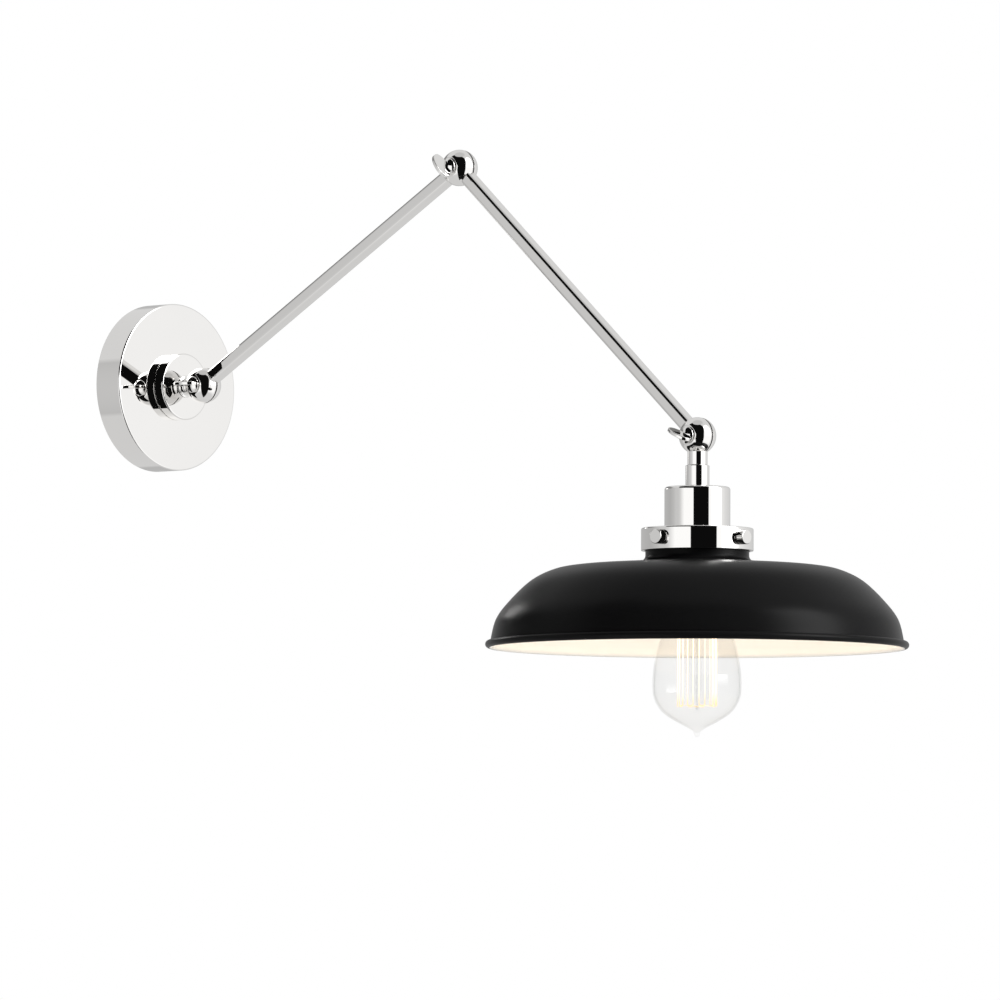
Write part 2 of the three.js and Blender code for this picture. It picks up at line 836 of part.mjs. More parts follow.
function makeGlass() {
  const seat = capRadius - capWall - gap;
  const swell = bulbWidestDepth - capBottom;
  const bowl = bulbTipDepth - bulbWidestDepth;
  const shoulder = [
    [seat, capBottom - 8],
    [seat, capBottom + gap],
  ];
  const body = smooth(
    [
      [bulbNeckRadius, capBottom + 3],
      [bulbRadius * 0.54, capBottom + swell * 0.24],
      [bulbRadius * 0.69, capBottom + swell * 0.42],
      [bulbRadius * 0.865, capBottom + swell * 0.62],
      [bulbRadius * 0.975, capBottom + swell * 0.83],
      [bulbRadius, bulbWidestDepth],
      [bulbRadius * 0.96, bulbWidestDepth + bowl * 0.239],
      [bulbRadius * 0.836, bulbWidestDepth + bowl * 0.439],
      [bulbRadius * 0.7, bulbWidestDepth + bowl * 0.558],
      [bulbRadius * 0.483, bulbWidestDepth + bowl * 0.681],
      [bulbRadius * 0.232, bulbWidestDepth + bowl * 0.8],
      [bulbRadius * 0.12, bulbWidestDepth + bowl * 0.87],
    ],
    13,
  );
  const outside = [...shoulder, ...body];
  const inside = offset(outside, glassWall).reverse();
  inside[inside.length - 1] = [seat - glassWall, capBottom - 8];
  const tip = [
    [bulbRadius * 0.075, bulbWidestDepth + bowl * 0.91],
    [bulbRadius * 0.05, bulbTipDepth - 1],
    [0, bulbTipDepth],
  ];
  const start = [0, inside[0][1] + glassWall / 4];
  return { outside, inside, tip, start };
}

function bulbGlassGeometry() {
  const { outside, inside, tip, start } = makeGlass();
  return turned([start, ...inside, ...outside, ...tip], medium);
}

function makeMount() {
  const wide = capRadius - 2.6;
  const foot = capBottom - 6;
  return turned(
    [
      [0, foot],
      [wide, foot],
      [wide, foot + 0.8],
      [3.2, capBottom - 1],
      [3.2, cageTopDepth - 4],
      [1.5, cageTopDepth - 1],
      [1.5, cageBottomDepth + 2],
      [0, cageBottomDepth + 2],
    ],
    12,
  );
}

// A small ring round the mount's rod with a spoke to every second bend of the filament.
function makeSpider(depth, phase) {
  const spokes = cageStrands / 2;
  let made = solid(sleeve(1.8, 2.6, depth - 0.5, depth + 0.5, 12));
  for (let i = 0; i < spokes; i += 1) {
    const turn = THREE.MathUtils.radToDeg(((i + phase) * 2 * Math.PI) / spokes);
    const spoke = solid(alongX(rod(0.3, 2.2, cageRadius - filamentRadius - gap, 6)));
    made = made.add(spoke.translate([0, 0, depth]).rotate([0, 0, turn]));
  }
  return made;
}

// One wire that runs up and down between the spiders, round the cage, with a break at its start.
function makeFilament() {
  const route = [];
  const round = 1.5;
  for (let i = 0; i <= cageStrands; i += 1) {
    const angle = ((i + 0.25) * 2 * Math.PI) / (cageStrands + 1);
    const x = cageRadius * Math.cos(angle);
    const y = cageRadius * Math.sin(angle);
    const ends = [cageTopDepth + round, cageBottomDepth - round];
    if (i % 2) ends.reverse();
    route.push([x, y, ends[0]], [x, y, (ends[0] + ends[1]) / 2], [x, y, ends[1]]);
  }
  return wire(route, filamentRadius, 4, 6 * cageStrands);
}

piece(head, "bulb_cap", brass, makeBulbCap());
const insulatorTop = capTopDepth - 0.9;
piece(head, "bulb_insulator", blackNylon, rod(insulatorRadius, insulatorTop, capTopDepth + 1.6, coarse));
piece(head, "bulb_contact", brass, rod(contactRadius - 0.5, bulbContactDepth, capTopDepth - 1.2, coarse));
piece(head, "bulb_glass", clearGlass, bulbGlassGeometry());
piece(head, "filament_mount", clearGlass, makeMount());
piece(head, "filament_spider_top", zinc, makeSpider(cageTopDepth, 0));
piece(head, "filament_spider_bottom", zinc, makeSpider(cageBottomDepth, 0.5));
piece(head, "filament", filamentWire, makeFilament());

export default sconce;
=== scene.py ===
import json
import math

import bpy
import numpy as np
from bpy.props import FloatProperty, FloatVectorProperty, IntProperty, PointerProperty
from mathutils import Matrix, Vector


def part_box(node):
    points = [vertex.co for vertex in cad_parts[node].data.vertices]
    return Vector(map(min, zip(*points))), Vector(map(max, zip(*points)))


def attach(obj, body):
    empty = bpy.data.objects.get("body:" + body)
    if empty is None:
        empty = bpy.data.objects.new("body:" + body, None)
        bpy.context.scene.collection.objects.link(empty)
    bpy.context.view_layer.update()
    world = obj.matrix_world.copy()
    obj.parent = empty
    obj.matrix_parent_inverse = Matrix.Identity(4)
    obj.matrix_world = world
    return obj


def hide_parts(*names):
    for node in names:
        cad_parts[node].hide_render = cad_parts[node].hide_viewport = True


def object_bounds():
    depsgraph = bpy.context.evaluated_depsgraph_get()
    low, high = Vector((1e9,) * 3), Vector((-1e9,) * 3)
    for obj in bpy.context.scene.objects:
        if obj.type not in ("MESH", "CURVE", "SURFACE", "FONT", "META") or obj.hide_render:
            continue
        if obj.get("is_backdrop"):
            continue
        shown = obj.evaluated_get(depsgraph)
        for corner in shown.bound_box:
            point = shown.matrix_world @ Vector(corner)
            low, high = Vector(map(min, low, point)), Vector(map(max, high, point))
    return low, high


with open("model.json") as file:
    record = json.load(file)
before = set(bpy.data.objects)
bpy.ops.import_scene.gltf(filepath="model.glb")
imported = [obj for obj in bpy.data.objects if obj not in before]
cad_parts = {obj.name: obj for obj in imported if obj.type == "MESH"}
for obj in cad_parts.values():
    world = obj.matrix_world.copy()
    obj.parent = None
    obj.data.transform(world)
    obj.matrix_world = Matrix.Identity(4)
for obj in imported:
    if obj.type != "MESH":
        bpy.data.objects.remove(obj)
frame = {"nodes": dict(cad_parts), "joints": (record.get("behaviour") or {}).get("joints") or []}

bl_info = {
    "name": "Swing Arm Wall Sconce",
    "version": (1, 0, 0),
    "blender": (4, 5, 0),
    "location": "View3D > Sidebar > Sconce",
    "description": "Finished surfaces of a wall sconce with two jointed arms and a dome shade",
    "category": "Object",
}

CAD_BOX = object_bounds()
MM = 0.001


# ------------------------------------------------------------------ where things are
# Lengths below are millimetres, turned to metres when a mesh is made.


def corners(node):
    """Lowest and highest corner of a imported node, in millimetres."""
    low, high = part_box(node)
    return np.array(low) / MM, np.array(high) / MM


def joint_place(name):
    for joint in frame["joints"]:
        if joint["name"] == name:
            return np.array(joint["pos_m"], float) / MM
    raise KeyError(f"the frame has no joint called {name}")


def half_width(node):
    """Half of a node's width along X, which is its radius if it is round about the YZ plane."""
    low, high = corners(node)
    return float(high[0] - low[0]) / 2


WALL_PIVOT = joint_place("wall_knuckle")
ELBOW_PIVOT = joint_place("elbow_knuckle")
SHADE_PIVOT = joint_place("shade_knuckle")
LOWER_ARM = ELBOW_PIVOT - WALL_PIVOT
OUTER_ARM = SHADE_PIVOT - ELBOW_PIVOT
OUTWARD = np.array([0.0, -1.0, 0.0])
DOWN = np.array([0.0, 0.0, -1.0])
ACROSS = np.array([1.0, 0.0, 0.0])

CANOPY_DEPTH = -float(corners("canopy")[0][1])
HUB_BACK = CANOPY_DEPTH + 0.3
HUB_FRONT = -float(corners("hub_disc")[0][1])


class Seat:
    """A local frame: +Z runs along a section of the light, X is the world's X."""

    def __init__(self, origin, along, across=ACROSS):
        z = np.asarray(along, float) / np.linalg.norm(along)
        self.axes = np.stack([across, np.cross(z, across), z])
        self.origin = np.asarray(origin, float)

    def place(self, points):
        return points @ self.axes + self.origin


def upright(pivot):
    """Seat whose X, Y and Z are the world's, for pieces turned about a pivot."""
    return Seat(pivot, (0, 0, 1))


WALL = Seat((0, 0, 0), OUTWARD)
LOWER = Seat(WALL_PIVOT, LOWER_ARM)
OUTER = Seat(ELBOW_PIVOT, OUTER_ARM)
HEAD = Seat(SHADE_PIVOT, DOWN)


# ------------------------------------------------------------------ sizes and colours


def length(name, description, default, **more):
    return FloatProperty(name=name, description=description, default=default * MM, unit="LENGTH",
                         precision=5, **more)


def colour(name, description, default):
    return FloatVectorProperty(name=name, description=description, default=default, subtype="COLOR",
                               size=3, min=0, max=1)


class SconceCanopy(bpy.types.PropertyGroup):
    radius: length("Radius", "Radius of the wall canopy", half_width("canopy"))
    edge: length("Edge", "Rounding of the canopy's front edge", 1.1)
    wall: length("Wall", "Thickness of the spun metal", 1.5)
    hub_radius: length("Hub radius", "Radius of the swivelling hub", half_width("hub_disc"))
    hub_edge: length("Hub edge", "Rounding of the hub's front edge", 1.2)


class SconceKnuckle(bpy.types.PropertyGroup):
    ball_radius: length("Ball radius", "Radius of each knuckle ball", 13.5)
    seam_width: length("Seam", "Width of the slot between the halves of a ball", 1.6)
    seam_offset: length("Seam offset", "How far the seam lies from the ball's centre", 1.0)
    pole_flat: length("Pole flat", "Distance of the flat that the key bears on", 11.3)
    boss_radius: length("Boss radius", "Radius of the key's boss", 6.2)
    paddle_length: length("Paddle length", "Length of the key's oval paddle", 20.0)
    paddle_width: length("Paddle width", "Width of the key's oval paddle", 14.0)
    paddle_thickness: length("Paddle thickness", "Thickness of the paddle", 2.5)
    paddle_reach: length("Paddle reach", "From the ball's centre to the paddle's middle", 20.3)


class SconceArms(bpy.types.PropertyGroup):
    side: length("Side", "Side of the square tube", 2 * half_width("lower_arm_tube"))
    corner: length("Corner", "Rounding of the tube's corners", 2.7)
    wall: length("Wall", "Thickness of the tube", 1.3)


class SconceStem(bpy.types.PropertyGroup):
    radius: length("Stem radius", "Radius of the stem below the last knuckle", 7.3)
    coupler_radius: length("Coupler radius", "Radius of the thicker part",
                           half_width("stem_coupler"))
    cup_radius: length("Cup radius", "Radius of the socket cup", half_width("socket_cup"))
    collar_radius: length("Collar radius", "Radius of the shade collar", half_width("shade_collar"))
    screw_radius: length("Screw radius", "Radius of the thumb screws", 5.3)


class SconceShade(bpy.types.PropertyGroup):
    radius: length("Radius", "Radius of the shade at its rolled rim", 152.4)
    neck_radius: length("Neck radius", "Radius of the neck inside the collar", 37.4)
    bead: length("Bead", "Radius of the rolled rim", 2.7)
    wall: length("Wall", "Thickness of the spun shade", 1.0)


class SconceBulb(bpy.types.PropertyGroup):
    radius: length("Radius", "Radius of the glass at its widest", 31.9)
    wall: length("Glass", "Thickness of the glass", 0.9)
    strands: IntProperty(name="Strands", description="Loops of the filament round its cage",
                         default=10, min=4, max=24)
    glow: FloatProperty(name="Glow", description="Strength of the glowing filament", default=1.7,
                        min=0)
    power: FloatProperty(name="Power", description="Power of the bulb's light", default=0.36, min=0)


class SconceFinish(bpy.types.PropertyGroup):
    nickel: colour("Nickel", "Colour of the polished nickel", (0.905, 0.895, 0.88))
    enamel: colour("Enamel", "Colour of the shade's outside", (0.0075, 0.0075, 0.0077))
    lining: colour("Lining", "Colour of the shade's inside", (0.93, 0.91, 0.875))
    brass: colour("Brass", "Colour of the brass parts", (0.78, 0.6, 0.3))


class SconceStage(bpy.types.PropertyGroup):
    floor: colour("Floor", "Colour of the floor", (0.82, 0.82, 0.815))
    drop: FloatProperty(name="Drop", description="Height of the floor, which is below the origin",
                        default=-0.9, unit="LENGTH")
    lens: FloatProperty(name="Lens", description="Focal length of the camera", default=304.45,
                        subtype="DISTANCE_CAMERA")


# ------------------------------------------------------------------ profiles and surfaces


def softened(points, loop=False, steps=6, guard=0.35):
    """Outline with rounded corners, from rows of [radius, height, rounding].

    Each corner is cut by an arc that touches both of its straight runs, at rounding / tan(half the
    angle between them) from the corner. A guard point on each run, just off the arc, keeps the flat
    next to it flat under smooth shading.
    """
    table = np.array(points, float)
    corner, rounding = table[:, :2], table[:, 2]
    back, ahead = np.roll(corner, 1, 0) - corner, np.roll(corner, -1, 0) - corner
    run_back, run_ahead = np.linalg.norm(back, axis=1), np.linalg.norm(ahead, axis=1)
    back, ahead = back / run_back[:, None], ahead / run_ahead[:, None]
    half = np.arccos(np.clip((back * ahead).sum(1), -1, 1)) / 2
    shortest = np.minimum(run_back, run_ahead)
    reach = np.minimum(np.maximum(rounding, 0.02) / np.tan(half), 0.42 * shortest)
    middle = back + ahead
    middle /= np.linalg.norm(middle, axis=1)[:, None]
    centre = corner + middle * (reach / np.cos(half))[:, None]
    start = corner + back * reach[:, None] - centre
    end = corner + ahead * reach[:, None] - centre
    sweep = np.pi - 2 * half
    t = np.linspace(0, 1, steps + 1)[None, :, None]
    wide = sweep[:, None, None]
    arc = (np.sin((1 - t) * wide) * start[:, None] + np.sin(t * wide) * end[:, None]) / np.sin(wide)
    arc += centre[:, None]
    off = np.minimum(guard, 0.04 * shortest)[:, None]
    before, after = arc[:, 0] + back * off, arc[:, -1] + ahead * off
    made = np.concatenate([before[:, None], arc, after[:, None]], 1)
    if loop:
        return made.reshape(-1, 2)
    inner = made[1:-1].reshape(-1, 2)
    return np.concatenate([corner[:1], inner, corner[-1:]])


def arc_points(centre, radius, start, end, steps):
    """Points [radius, height] of a circle's arc about a centre, between two angles in degrees."""
    angle = np.radians(np.linspace(start, end, steps + 1))
    return np.array(centre) + radius * np.stack([np.cos(angle), np.sin(angle)], 1)


def smooth_through(points, steps):
    """Catmull-Rom curve through the points: each span is a cubic set by it and its neighbours."""
    knots = np.array(points, float)
    padded = np.concatenate([knots[:1], knots, knots[-1:]])
    t = np.linspace(0, 1, steps, endpoint=False)[None, :, None]
    a, b, c, d = (padded[i:len(knots) - 1 + i, None] for i in range(4))
    spans = 0.5 * (2 * b + (c - a) * t + (2 * a - 5 * b + 4 * c - d) * t**2
                   + (3 * b - a - 3 * c + d) * t**3)
    return np.concatenate([spans.reshape(-1, knots.shape[1]), knots[-1:]])


def shifted(points, amount):
    """The outline moved sideways by an amount, to the left of its direction of travel."""
    along = np.gradient(points, axis=0)
    along /= np.linalg.norm(along, axis=1)[:, None]
    return points + amount * np.stack([-along[:, 1], along[:, 0]], 1)


def turned(profile, sides=160):
    """Surface of turning: radius r and height h go to (r cos a, r sin a, h), a full turn of a."""
    angle = np.linspace(0, 2 * np.pi, sides, endpoint=False)
    radius, height = profile[:, :1], profile[:, 1:2]
    flat = np.broadcast_to(height, (len(profile), sides))
    return np.stack([radius * np.cos(angle), radius * np.sin(angle), flat], -1)


def turned_across(profile, sides=96):
    """Surface of turning about X: radius r and height h go to (h, r cos a, r sin a)."""
    return turned(profile, sides)[..., [2, 0, 1]]


def rounded_square(side, corner, steps=8):
    """Outline of a square with round corners, as [x, y] points that run once round."""
    half = side / 2
    square = [[half, -half, corner], [half, half, corner], [-half, half, corner],
              [-half, -half, corner]]
    return softened(square, loop=True, steps=steps, guard=0.15)


def swept(outline, heights):
    """Straight sweep: every [x, y] of the outline at every height, which may vary round it."""
    heights = np.asarray(heights, float)
    if heights.ndim == 1:
        heights = np.broadcast_to(heights[:, None], (len(heights), len(outline)))
    flat = np.broadcast_to(outline, (len(heights), len(outline), 2))
    return np.concatenate([flat, heights[..., None]], -1)


def pipe(path, radius, sides=12):
    """Round tube: each path point carries a circle square to the path's direction there.

    The circle's axes are the direction crossed with a fixed vector and crossed again, and the ends
    close on the path's own ends.
    """
    along = np.gradient(path, axis=0)
    along /= np.linalg.norm(along, axis=1)[:, None]
    fixed = np.array([0.31, 0.93, 0.19])
    first = np.cross(along, fixed)
    first /= np.linalg.norm(first, axis=1)[:, None]
    second = np.cross(along, first)
    angle = np.linspace(0, 2 * np.pi, sides, endpoint=False)[None, :, None]
    circle = np.cos(angle) * first[:, None] + np.sin(angle) * second[:, None]
    ring = path[:, None] + radius * circle
    ends = [np.broadcast_to(path[i], (1, sides, 3)) for i in (0, -1)]
    return np.concatenate([ends[0], ring, ends[1]])


class Skin:
    """A grid of points joined by faces: its columns always run round, its rows may."""

    def __init__(self, grid, loop=False, finish=0):
        columns = grid.shape[1]
        point = np.ptp(grid, axis=1).max(axis=1) < 1e-7
        kept = ~point[:, None] | (np.arange(columns) == 0)
        starts = np.concatenate([[0], np.cumsum(kept.sum(1))[:-1]])
        index = starts[:, None] + np.where(point[:, None], 0, np.arange(columns))
        below = index if loop else index[:-1]
        above = np.roll(index, -1, 0) if loop else index[1:]
        quads = np.stack([below, np.roll(below, -1, 1), np.roll(above, -1, 1), above], -1)
        self.points = grid[kept]
        self.quads = quads.reshape(-1, 4)
        row_finish = np.broadcast_to(np.asarray(finish), (len(below),))
        self.finishes = np.repeat(row_finish, columns)
        a, b, c, d = (self.points[self.quads[:, i]] for i in range(4))
        volume = (a * (np.cross(b, c) + np.cross(c, d))).sum()
        if volume < 0:
            self.quads = self.quads[:, ::-1]

    def at(self, seat):
        self.points = seat.place(self.points)
        return self


SHARP_ANGLE = math.radians(38)


def joined(name, skins, finishes):
    """Object whose mesh holds all the skins: in metres, with its faces pointing outwards."""
    offset = np.cumsum([0] + [len(s.points) for s in skins[:-1]])
    points = np.concatenate([s.points for s in skins]) * MM
    quads = np.concatenate([s.quads + o for s, o in zip(skins, offset)])
    which = np.concatenate([s.finishes for s in skins])
    low = quads[:, 0] == quads[:, 1]
    high = quads[:, 2] == quads[:, 3]
    whole = ~(low | high)
    faces = quads[whole].tolist() + quads[low][:, [0, 2, 3]].tolist() + quads[high][:, :3].tolist()
    which = np.concatenate([which[whole], which[low], which[high]]).astype(np.int32)
    mesh = bpy.data.meshes.new(name)
    mesh.from_pydata(points.tolist(), [], faces)
    for finish in finishes:
        mesh.materials.append(finish.material())
    mesh.polygons.foreach_set("material_index", which)
    mesh.shade_smooth()
    mesh.set_sharp_from_angle(angle=SHARP_ANGLE)
    mesh.update()
    made = bpy.data.objects.new(name, mesh)
    bpy.context.scene.collection.objects.link(made)
    return made


def make(name, body, node, skins, *finishes):
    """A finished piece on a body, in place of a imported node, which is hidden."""
    piece = joined(name, skins, finishes)
    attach(piece, body)
    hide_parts(node)


def lathe(points, seat, sides=96, loop=False, steps=6):
    """Softened outline turned about a seat's axis; with loop the outline is closed, as a ring's."""
    return Skin(turned(softened(points, loop, steps), sides), loop).at(seat)


def pin(radius, start, end, first, last, seat, steps=4):
    """Solid round pin, with the rounding of its first and of its last edge."""
    outline = [[0, start, 0], [radius, start, first], [radius, end, last], [0, end, 0]]
    return lathe(outline, seat, 48, steps=steps)


def flat_ring(inner, outer, start, end, seat):
    """Washer: a rectangle with broken corners, turned about a seat's axis."""
    outline = [[inner, start, 0.15], [outer, start, 0.15], [outer, end, 0.15], [inner, end, 0.15]]
    return lathe(outline, seat, 96, True, 3)


def knurled(profile, sides, ribs, depth, rows):
    """Turned surface whose radius, on some rows, is times 1 - depth (1 - cos(ribs a)) / 2."""
    grid = turned(profile, sides)
    angle = np.linspace(0, 2 * np.pi, sides, endpoint=False)
    dip = depth * rows[:, None] * (0.5 - 0.5 * np.cos(ribs * angle))
    grid[..., :2] *= (1 - dip)[..., None]
    return grid


# ------------------------------------------------------------------ shader maths


class Value:
    """A socket that can be used in arithmetic; each operation adds the node that works it out."""

    def __init__(self, recipe, socket):
        self.recipe = recipe
        self.socket = socket

    def between(self, first, last):
        """0 up to first, 1 from last, and straight between them; first may be the higher one."""
        made = self.recipe.node("ShaderNodeMapRange", {"clamp": True}, {0: self, 1: first, 2: last})
        return Value(self.recipe, made.outputs[0])


def overload(operator, operation):
    """Gives Value an operator and its reflected form, both worked out by a Math node."""

    def forward(self, other):
        return self.recipe.math(operation, self, other)

    def reflected(self, other):
        return self.recipe.math(operation, other, self)

    setattr(Value, f"__{operator}__", forward)
    setattr(Value, f"__r{operator}__", reflected)


for _operator, _operation in (("add", "ADD"), ("sub", "SUBTRACT"), ("mul", "MULTIPLY"),
                              ("truediv", "DIVIDE"), ("pow", "POWER")):
    overload(_operator, _operation)


class Recipe:
    """Builds one node tree, of a material or of the world."""

    def __init__(self, tree):
        self.tree = tree
        tree.nodes.clear()

    def node(self, kind, settings, inputs):
        """A node of a kind: its settings first, then the values or links of its sockets."""
        made = self.tree.nodes.new(kind)
        for key, setting in settings.items():
            if key == "stops":
                self.set_stops(made.color_ramp, setting)
            else:
                setattr(made, key, setting)
        for key, given in inputs.items():
            source = given.socket if isinstance(given, Value) else given
            if isinstance(source, bpy.types.NodeSocket):
                self.tree.links.new(source, made.inputs[key])
            else:
                made.inputs[key].default_value = source
        return made

    @staticmethod
    def set_stops(ramp, stops):
        while len(ramp.elements) < len(stops):
            ramp.elements.new(0.5)
        for element, (position, shade) in zip(ramp.elements, stops):
            element.position = position
            element.color = (shade, shade, shade, 1)

    def math(self, operation, *inputs):
        made = self.node("ShaderNodeMath", {"operation": operation}, dict(enumerate(inputs)))
        return Value(self, made.outputs[0])

    def dot(self, vector, fixed):
        inputs = {0: vector, 1: fixed}
        made = self.node("ShaderNodeVectorMath", {"operation": "DOT_PRODUCT"}, inputs)
        return Value(self, made.outputs["Value"])

    def place(self):
        """Object coordinates, which are metres in the light's own frame."""
        return self.node("ShaderNodeTexCoord", {}, {}).outputs["Object"]

    def mapped(self, scale, turn=(0, 0, 0)):
        inputs = {"Vector": self.place(), "Scale": scale, "Rotation": turn}
        return self.node("ShaderNodeMapping", {}, inputs).outputs["Vector"]

    def noise(self, scale, detail=3.0, roughness=0.55, vector=None):
        inputs = {"Vector": vector or self.place(), "Scale": scale, "Detail": detail,
                  "Roughness": roughness}
        return Value(self, self.node("ShaderNodeTexNoise", {}, inputs).outputs[0])

    def mix(self, factor, first, second):
        """Colour mix of two colours by a factor."""
        made = self.node("ShaderNodeMix", {"data_type": "RGBA"}, {0: factor, 6: first, 7: second})
        return made.outputs[2]

    def bump(self, height, distance, strength):
        inputs = {"Height": height, "Distance": distance, "Strength": strength}
        return self.node("ShaderNodeBump", {}, inputs).outputs["Normal"]

    def shader(self, kind, inputs):
        return self.node(kind, {}, inputs).outputs[0]

    def blend(self, factor, first, second):
        """Mix of two shaders by a factor."""
        return self.shader("ShaderNodeMixShader", {0: factor, 1: first, 2: second})

    def surface(self, shader):
        self.node("ShaderNodeOutputMaterial", {}, {"Surface": shader})

    def principled(self, inputs):
        """Ends the tree in one Principled shader."""
        self.surface(self.shader("ShaderNodeBsdfPrincipled", inputs))


def rgba(shade, factor=1.0):
    return (*(min(1.0, c * factor) for c in shade), 1.0)


class Finish:
    """A material that is made once, by a recipe and its details, with the name of a slot kept
    beside it.
    """

    def __init__(self, name, slot, recipe, *details, glows=False):
        self.name, self.slot, self.glows = name, slot, glows
        self.recipe, self.details = recipe, details
        self.made = None

    def material(self):
        if self.made is None:
            self.made = bpy.data.materials.new(self.name)
            self.made.use_nodes = True
            self.recipe(Recipe(self.made.node_tree), *self.details)
            if self.glows:
                self.made.cycles.emission_sampling = "NONE"
        return self.made


# ------------------------------------------------------------------ finishes


def mirror_nickel(r):
    """Mirror nickel with a faint haze of wiped smudges and hairline buffing marks."""
    shade = bpy.context.scene.sconce_finish.nickel
    haze = r.noise(28, 4).between(0.45, 0.75)
    hairs = r.noise(1, 2, vector=r.mapped((160, 160, 2600), (0.5, 0.2, 0)))
    cloud = r.noise(9, 2)
    r.principled({
        "Base Color": r.mix(cloud.between(0.3, 0.7), rgba(shade, 0.985), rgba(shade, 1.012)),
        "Metallic": 1.0,
        "Roughness": 0.014 + haze * 0.02 + hairs.between(0.55, 0.8) * 0.012,
        "Normal": r.bump(r.noise(60, 2), 0.00001, 0.1),
    })


def satin_enamel(r):
    """Satin powder enamel: fine orange peel and a slightly uneven sheen."""
    shade = bpy.context.scene.sconce_finish.enamel
    peel, drift = r.noise(900, 3, 0.6), r.noise(14, 3)
    r.principled({
        "Base Color": r.mix(drift, rgba(shade, 0.8), rgba(shade, 1.3)),
        "Roughness": 0.24 + drift * 0.06 + peel * 0.05,
        "Specular IOR Level": 0.06,
        "Normal": r.bump(peel, 0.00006, 0.35),
    })


def warm_lining(r):
    """Warm white lining, matt enough to spread the bulb's light."""
    shade = bpy.context.scene.sconce_finish.lining
    peel, drift = r.noise(700, 3, 0.6), r.noise(11, 3)
    r.principled({
        "Base Color": r.mix(drift, rgba(shade, 0.97), rgba(shade, 1.02)),
        "Roughness": 0.48 + peel * 0.08,
        "Normal": r.bump(peel, 0.00006, 0.3),
    })


def plated(r, shade, roughness, grain):
    """Metal with a drawn or plated grain: noise stretched along the part."""
    streak, blotch = r.noise(1, 4, 0.6, r.mapped(grain)), r.noise(45, 4)
    r.principled({
        "Base Color": r.mix(blotch.between(0.3, 0.75), rgba(shade, 0.86), rgba(shade, 1.08)),
        "Metallic": 1.0,
        "Roughness": roughness + streak * 0.14 + blotch * 0.06,
        "Normal": r.bump(streak, 0.00004, 0.4),
    })


def brass(r):
    """Plated metal in the brass colour of the settings, with turning marks."""
    plated(r, bpy.context.scene.sconce_finish.brass, 0.18, TURNING_MARKS)


def moulded(r, shade, roughness, scale=420.0, depth=0.00006):
    """Moulded or glazed material: a fine skin over a soft drift of tone."""
    skin, drift = r.noise(scale, 4, 0.6), r.noise(30, 3)
    r.principled({
        "Base Color": r.mix(drift.between(0.3, 0.7), rgba(shade, 0.85), rgba(shade, 1.12)),
        "Roughness": roughness + skin * 0.1,
        "Normal": r.bump(skin, depth, 0.3),
    })


def blown_glass(r):
    """Thin blown glass: clear face on, grey and mirroring where it is seen edge on."""
    normal = r.bump(r.noise(22, 2), 0.0004, 0.12)
    gloss = r.shader("ShaderNodeBsdfGlossy", {"Color": (1, 1, 1, 1), "Roughness": 0.015,
                                              "Normal": normal})
    edge = Value(r, r.node("ShaderNodeLayerWeight", {}, {"Blend": 0.5}).outputs["Facing"])
    thin = r.shader("ShaderNodeBsdfTransparent", {"Color": (0.973, 0.973, 0.971, 1)})
    thick = r.shader("ShaderNodeBsdfTransparent", {"Color": (0.93, 0.93, 0.925, 1)})
    r.surface(r.blend(0.02 + edge ** 8 * 0.45, r.blend(edge ** 4, thin, thick), gloss))


def hot_wire(r):
    """Glowing wire: brightest along its middle stretch, redder where the spiders cool it."""
    low, high = corners("filament")
    height = r.node("ShaderNodeSeparateXYZ", {}, {0: r.place()}).outputs[2]
    rise = Value(r, height).between(float(low[2]) * MM, float(high[2]) * MM)
    middle = (rise * (1 - rise) * 9 + r.noise(260, 2) * 0.4).between(0.1, 1.0)
    r.principled({
        "Base Color": (0.25, 0.16, 0.1, 1),
        "Roughness": 0.5,
        "Emission Color": r.mix(middle, (1.0, 0.46, 0.16, 1), (1.0, 0.86, 0.62, 1)),
        "Emission Strength": bpy.context.scene.sconce_bulb.glow,
    })


def painted_glow_wire(r):
    """Support wire next to the filament: bright metal with a mottled painted glow, emission that
    stands in for the filament's light.
    """
    mottle = r.noise(400, 3)
    r.principled({
        "Base Color": r.mix(mottle, (0.8, 0.7, 0.55, 1), (0.92, 0.84, 0.72, 1)),
        "Metallic": 1.0,
        "Roughness": 0.3 + mottle * 0.2,
        # painted glow: this emission paints the filament's light onto the support wire, which gives
        # none of its own
        "Emission Color": r.mix(mottle, (1.0, 0.66, 0.36, 1), (1.0, 0.8, 0.56, 1)),
        "Emission Strength": 0.55,
    })


def painted_floor(r):
    """Matt floor whose tone drifts softly."""
    shade, drift = tuple(bpy.context.scene.sconce_stage.floor), r.noise(1.5, 3)
    r.principled({
        "Base Color": r.mix(drift, rgba(shade, 0.98), rgba(shade, 1.01)),
        "Roughness": 0.7 + drift * 0.1,
    })


TURNING_MARKS = (90, 90, 2400)
NICKEL = Finish("polished nickel", "polished_nickel", mirror_nickel)
ENAMEL = Finish("satin black enamel", "black_enamel", satin_enamel)
LINING = Finish("warm white lining", None, warm_lining)
ZINC = Finish("zinc-plated steel", "zinc_steel", plated, (0.62, 0.64, 0.655), 0.24, (900, 60, 900))
BRASS = Finish("turned brass", "brass", brass)
CAP = Finish("nickel-brass cap", "cap_brass", plated, (0.74, 0.66, 0.48), 0.2, TURNING_MARKS)
GREEN = Finish("green ground screw", None, plated, (0.05, 0.3, 0.1), 0.28, (700, 700, 700))
NYLON = Finish("black nylon", "black_nylon", moulded, (0.01, 0.01, 0.01), 0.5)
PORCELAIN = Finish("glazed porcelain", "porcelain", moulded, (0.84, 0.82, 0.78), 0.14, 160.0,
                   0.00005)
INSULATION = Finish("lead insulation", "lead_cover", moulded, (0.03, 0.028, 0.026), 0.45, 900.0)
CONNECTOR = Finish("orange connector", "connector_plastic", moulded, (0.75, 0.22, 0.04), 0.3, 500.0)
GLASS = Finish("clear blown glass", "clear_glass", blown_glass)
